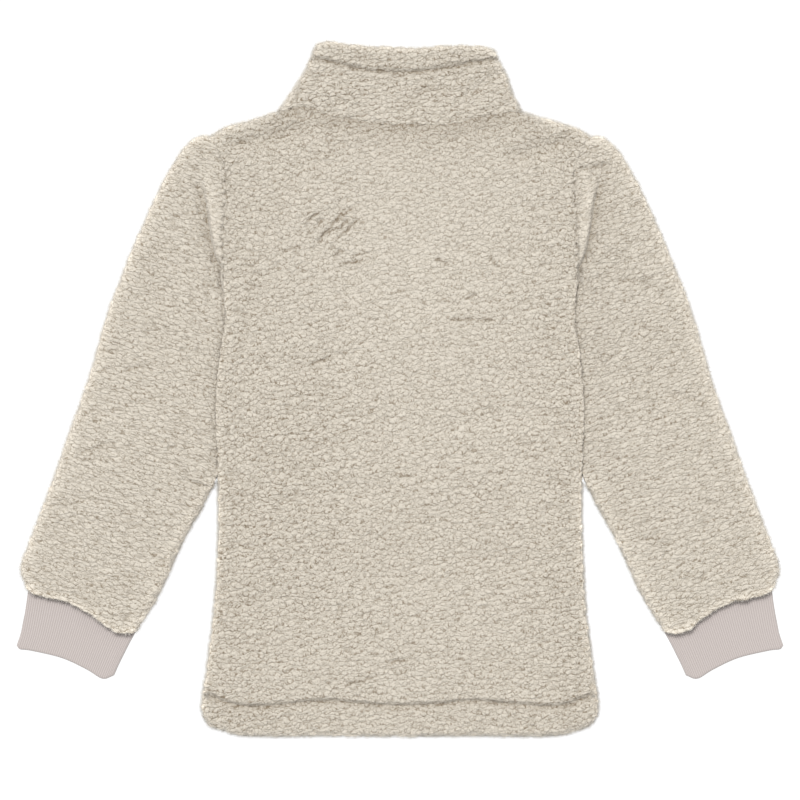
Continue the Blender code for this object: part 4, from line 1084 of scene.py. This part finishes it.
def plain_material(name, colour, dark, roughness, scale, depth, weave=None):
    """A surface whose shade and relief vary a little with a noise of one scale. A weave adds crossed
    threads of its spacing in metres: the sines of x + y and of x - y, multiplied."""
    material, tree, shader = new_material(name, {"Roughness": roughness})
    share = texture(tree, scale, 3.0)
    if weave:
        place = tree.nodes.new("ShaderNodeTexCoord").outputs["Object"]
        place = add_node(tree, "ShaderNodeSeparateXYZ", {"Vector": place}).outputs
        turns = [math(tree, "MULTIPLY_ADD", place["X"], slant, place["Y"]) for slant in (1.0, -1.0)]
        waves = [math(tree, "SINE", math(tree, "MULTIPLY", turn, 2 * np.pi / weave)) for turn in turns]
        share = math(tree, "MULTIPLY_ADD", math(tree, "MULTIPLY", *waves), 0.35, share)
    normal = bump(tree, share, 0.4, depth)
    wire(tree, shader, {"Base Color": mixed(tree, share, dark, colour), "Normal": normal})
    return material


ZIP_TAPE = plain_material("zip_tape", (0.56, 0.50, 0.42), (0.36, 0.315, 0.26), 0.85, 1500.0, 0.0001, WEAVE)
ZIP_TEETH = plain_material("zip_teeth", (0.60, 0.535, 0.45), (0.50, 0.44, 0.37), 0.4, 900.0, 0.00005)
ZIP_THREAD = plain_material("zip_thread", (0.62, 0.555, 0.47), (0.46, 0.405, 0.34), 0.8, 2500.0, 0.0001)
ENAMEL = plain_material("zip_metal", (0.53, 0.48, 0.415), (0.47, 0.42, 0.36), 0.32, 700.0, 0.00003)
tooth = np.array([box_ring(x, TOOTH_DEPTH, half) for x, half in TOOTH_STATIONS]).reshape(-1, 3)
stitch_reach = 0.5 * TAPE_STITCH["length"]
stitch_half = TAPE_STITCH["half"]
stitch_turns = 2 * np.pi * np.arange(6) / 6
stitch_rings = [(share * stitch_reach, swell) for share, swell in TAPE_STITCH["rings"]]
thread = [
    (TAPE_STITCH["x"] + stitch_half * swell * np.cos(t), y, 4.3 + stitch_half * swell * np.sin(t))
    for y, swell in stitch_rings
    for t in stitch_turns
]
for name, sign, start in (("zip_right", 1, 1.0), ("zip_left", -1, 1.0 + 0.5 * TOOTH_PITCH)):
    stations = np.linspace(ZIP_LOW, ZIP_HIGH, int((ZIP_HIGH - ZIP_LOW) / TAPE_STEP) + 1)
    tape = bar_piece(name + "_tape", np.array(TAPE) * (sign, 1), stations)
    dress(tape, ZIP_TAPE, "zip_tape", name)
    places = np.arange(ZIP_LOW + start, ZIP_HIGH - 0.6, TOOTH_PITCH)
    teeth = repeated(name + "_teeth", tooth * (sign, 1, 1), len(TOOTH_STATIONS), 4, places)
    dress(teeth, ZIP_TEETH, "zip_tape")
    places = np.arange(ZIP_LOW + 3.0, ZIP_HIGH - 3.0, TAPE_STITCH["pitch"])
    sewing = repeated(name + "_sewing", np.array(thread) * (sign, 1, 1), 4, 6, places)
    dress(sewing, ZIP_THREAD, "zip_tape")
    for piece in (tape, teeth):
        piece.data.shade_flat()
for node in ("slider", "pull_tab"):
    for slot in bpy.data.objects[node].material_slots:
        slot.material = ENAMEL

# Loose fibres
# The ends of the pile that stand out of the curls: thin spikes over every sherpa piece, closest
# along the outline, where they make the soft edge that shows against the floor.

SURFACE_FIBRE = {"short": 1.6, "long": 4.2, "width": 0.26, "lean": 0.55, "rise": 1.0}
RIM_FIBRE = {"short": 1.8, "long": 5.6, "width": 0.27, "lean": 0.5, "rise": 0.35}
FIBRES_ON = {
    "back_panel": (11000, 15000),
    "sleeve_left_tube": (6000, 14000),
    "sleeve_right_tube": (6000, 14000),
    "collar_band": (2500, 6500),
    "front_left_panel": (1500, 4500),
    "front_right_panel": (1500, 4500),
}
STEEP = 0.6
RIM_REACH = 6.0


def roots_on(piece, edges):
    """The triangles of a piece, their normals, and how likely a fibre is to root in each: by area
    on its top, and by area where it turns down to a free edge."""
    mesh = piece.data
    mesh.calc_loop_triangles()
    corners = np.empty(len(mesh.loop_triangles) * 3, np.int32)
    mesh.loop_triangles.foreach_get("vertices", corners)
    places = np.empty(len(mesh.vertices) * 3, np.float32)
    mesh.vertices.foreach_get("co", places)
    places = places.reshape(-1, 3).astype(float) / MM
    triangles = places[corners.reshape(-1, 3)].transpose(1, 0, 2)
    a, b, c = triangles
    normal = np.cross(b - a, c - a)
    size = np.linalg.norm(normal, axis=1)
    normal /= np.maximum(size, 1e-9)[:, None]
    cloth = (size < 60.0) & (a[:, 2] > 0.6)
    free = np.minimum.reduce([distance_to(a[:, :2], edge[::8]) for edge in edges]) < RIM_REACH
    steep = np.abs(normal[:, 2]) < STEEP
    return triangles, normal, size * cloth * (normal[:, 2] > 0), size * cloth * steep * free


def spikes(triangles, normal, chance, count, fibre, draw):
    """Spikes of three sides, each rooted just inside the pile at a random place, leaning a little
    from the normal there, and ending in a point."""
    a, b, c = triangles
    at = draw.choice(len(chance), count, p=chance / chance.sum())
    u, v = draw.random((2, count, 1))
    flip = u + v > 1
    u, v = np.where(flip, 1 - u, u), np.where(flip, 1 - v, v)
    root = a[at] + u * (b - a)[at] + v * (c - a)[at] - 0.5 * normal[at]
    root[:, 2] = np.maximum(root[:, 2], 0.5)
    way = normal[at] + draw.normal(size=(count, 3)) * fibre["lean"]
    way[:, 2] *= fibre["rise"]
    way /= np.linalg.norm(way, axis=1, keepdims=True)
    tip = root + way * draw.uniform(fibre["short"], fibre["long"], (count, 1))
    tip[:, 2] = np.maximum(tip[:, 2], 0.4)
    one = np.cross(way, draw.normal(size=(count, 3)))
    one /= np.linalg.norm(one, axis=1, keepdims=True)
    two = np.cross(way, one)
    turns = 2 * np.pi * np.arange(3) / 3
    feet = [root + 0.5 * fibre["width"] * (np.cos(t) * one + np.sin(t) * two) for t in turns]
    return np.stack([*feet, tip], axis=1).reshape(-1, 3)


def fibres_on(name, piece, counts, edges, seed):
    """One mesh of all the loose fibres of a piece: those on its top and those along its rim."""
    draw = np.random.default_rng(seed)
    triangles, normal, top_chance, rim_chance = roots_on(piece, edges)
    points = [
        spikes(triangles, normal, top_chance, counts[0], SURFACE_FIBRE, draw),
        spikes(triangles, normal, rim_chance, counts[1], RIM_FIBRE, draw),
    ]
    first = 4 * np.arange(sum(counts))[:, None]
    faces = [first + np.array(sides) for sides in ((0, 1, 3), (1, 2, 3), (2, 0, 3), (2, 1, 0))]
    rim = np.repeat([0.0, 1.0], [4 * count for count in counts])
    return piece_from(name, np.concatenate(points), [np.concatenate(faces)], {"rim": rim})


def fibre_material(name, dark, light, rim):
    """Single fibres: a matt tone that changes from tuft to tuft, and the rim's lighter one, painted light as
    if lit through from the floor.
    """
    material, tree, shader = new_material(name, {"Roughness": 0.9, "Specular IOR Level": 0.15})
    tuft = mixed(tree, texture(tree, 260.0), dark, light)
    wire(tree, shader, {"Base Color": mixed(tree, attribute(tree, "rim"), tuft, rim)})
    return material


# The last colour is painted light on the rim fibres
FIBRES = fibre_material("sherpa_fibres", (0.54, 0.494, 0.424), (0.64, 0.588, 0.51), (0.82, 0.78, 0.71))
one_side = [body_free, shoulder, outer_edge * (-1, 1), free_inner * (-1, 1), sleeve_end * (-1, 1)]
rims = [hem, collar_left, collar_right, collar_top] + one_side + [edge * (-1, 1) for edge in one_side]
for index, (name, counts) in enumerate(FIBRES_ON.items()):
    fibres = fibres_on(name + "_fibres", bpy.data.objects[name], counts, rims, 300 + index)
    dress(fibres, FIBRES, "sherpa_fleece")

# Floor, lights and camera
# A pale floor that shines as a light table does, light from all round, a soft lamp at the
# upper left, and the camera straight above, as in the photograph.

floor_mesh = bpy.data.meshes.new("floor")
floor_mesh.from_pydata([(-3, -3, 0), (3, -3, 0), (3, 3, 0), (-3, 3, 0)], [], [(0, 1, 2, 3)])
floor = bpy.data.objects.new("floor", floor_mesh)
bpy.context.scene.collection.objects.link(floor)
glow = {"Emission Color": (1.0, 1.0, 1.0, 1.0), "Emission Strength": 1.0}
paper = new_material("paper", {"Base Color": (0.05, 0.05, 0.05, 1.0), "Roughness": 1.0, **glow})[0]
floor_mesh.materials.append(paper)
floor.location = (0.0, 0.0, -0.0003)

world = bpy.data.worlds.new("studio")
bpy.context.scene.world = world
world.use_nodes = True
world.node_tree.nodes["Background"].inputs["Color"].default_value = (1.0, 1.0, 1.0, 1.0)
world.node_tree.nodes["Background"].inputs["Strength"].default_value = 0.6
bpy.context.scene.view_settings.view_transform = "Standard"

lamp = bpy.data.lights.new("lamp", "SUN")
lamp.angle = 0.42
lamp.energy = 3.0
lamp_object = bpy.data.objects.new("lamp", lamp)
lamp_object.rotation_euler = Vector((0.14, -0.42, -0.90)).to_track_quat("-Z", "Y").to_euler()
bpy.context.scene.collection.objects.link(lamp_object)

PHOTO_WIDTH = 0.864
CAMERA_HEIGHT = 3.0
JACKET_TOP = 0.01
VIEW_CENTRE_Y = -0.0124
camera = bpy.data.cameras.new("camera")
camera.sensor_width = 36.0
camera.lens = camera.sensor_width * CAMERA_HEIGHT / PHOTO_WIDTH
camera_object = bpy.data.objects.new("camera", camera)
camera_object.location = (0.0, VIEW_CENTRE_Y, JACKET_TOP + CAMERA_HEIGHT)
bpy.context.scene.collection.objects.link(camera_object)
bpy.context.scene.camera = camera_object
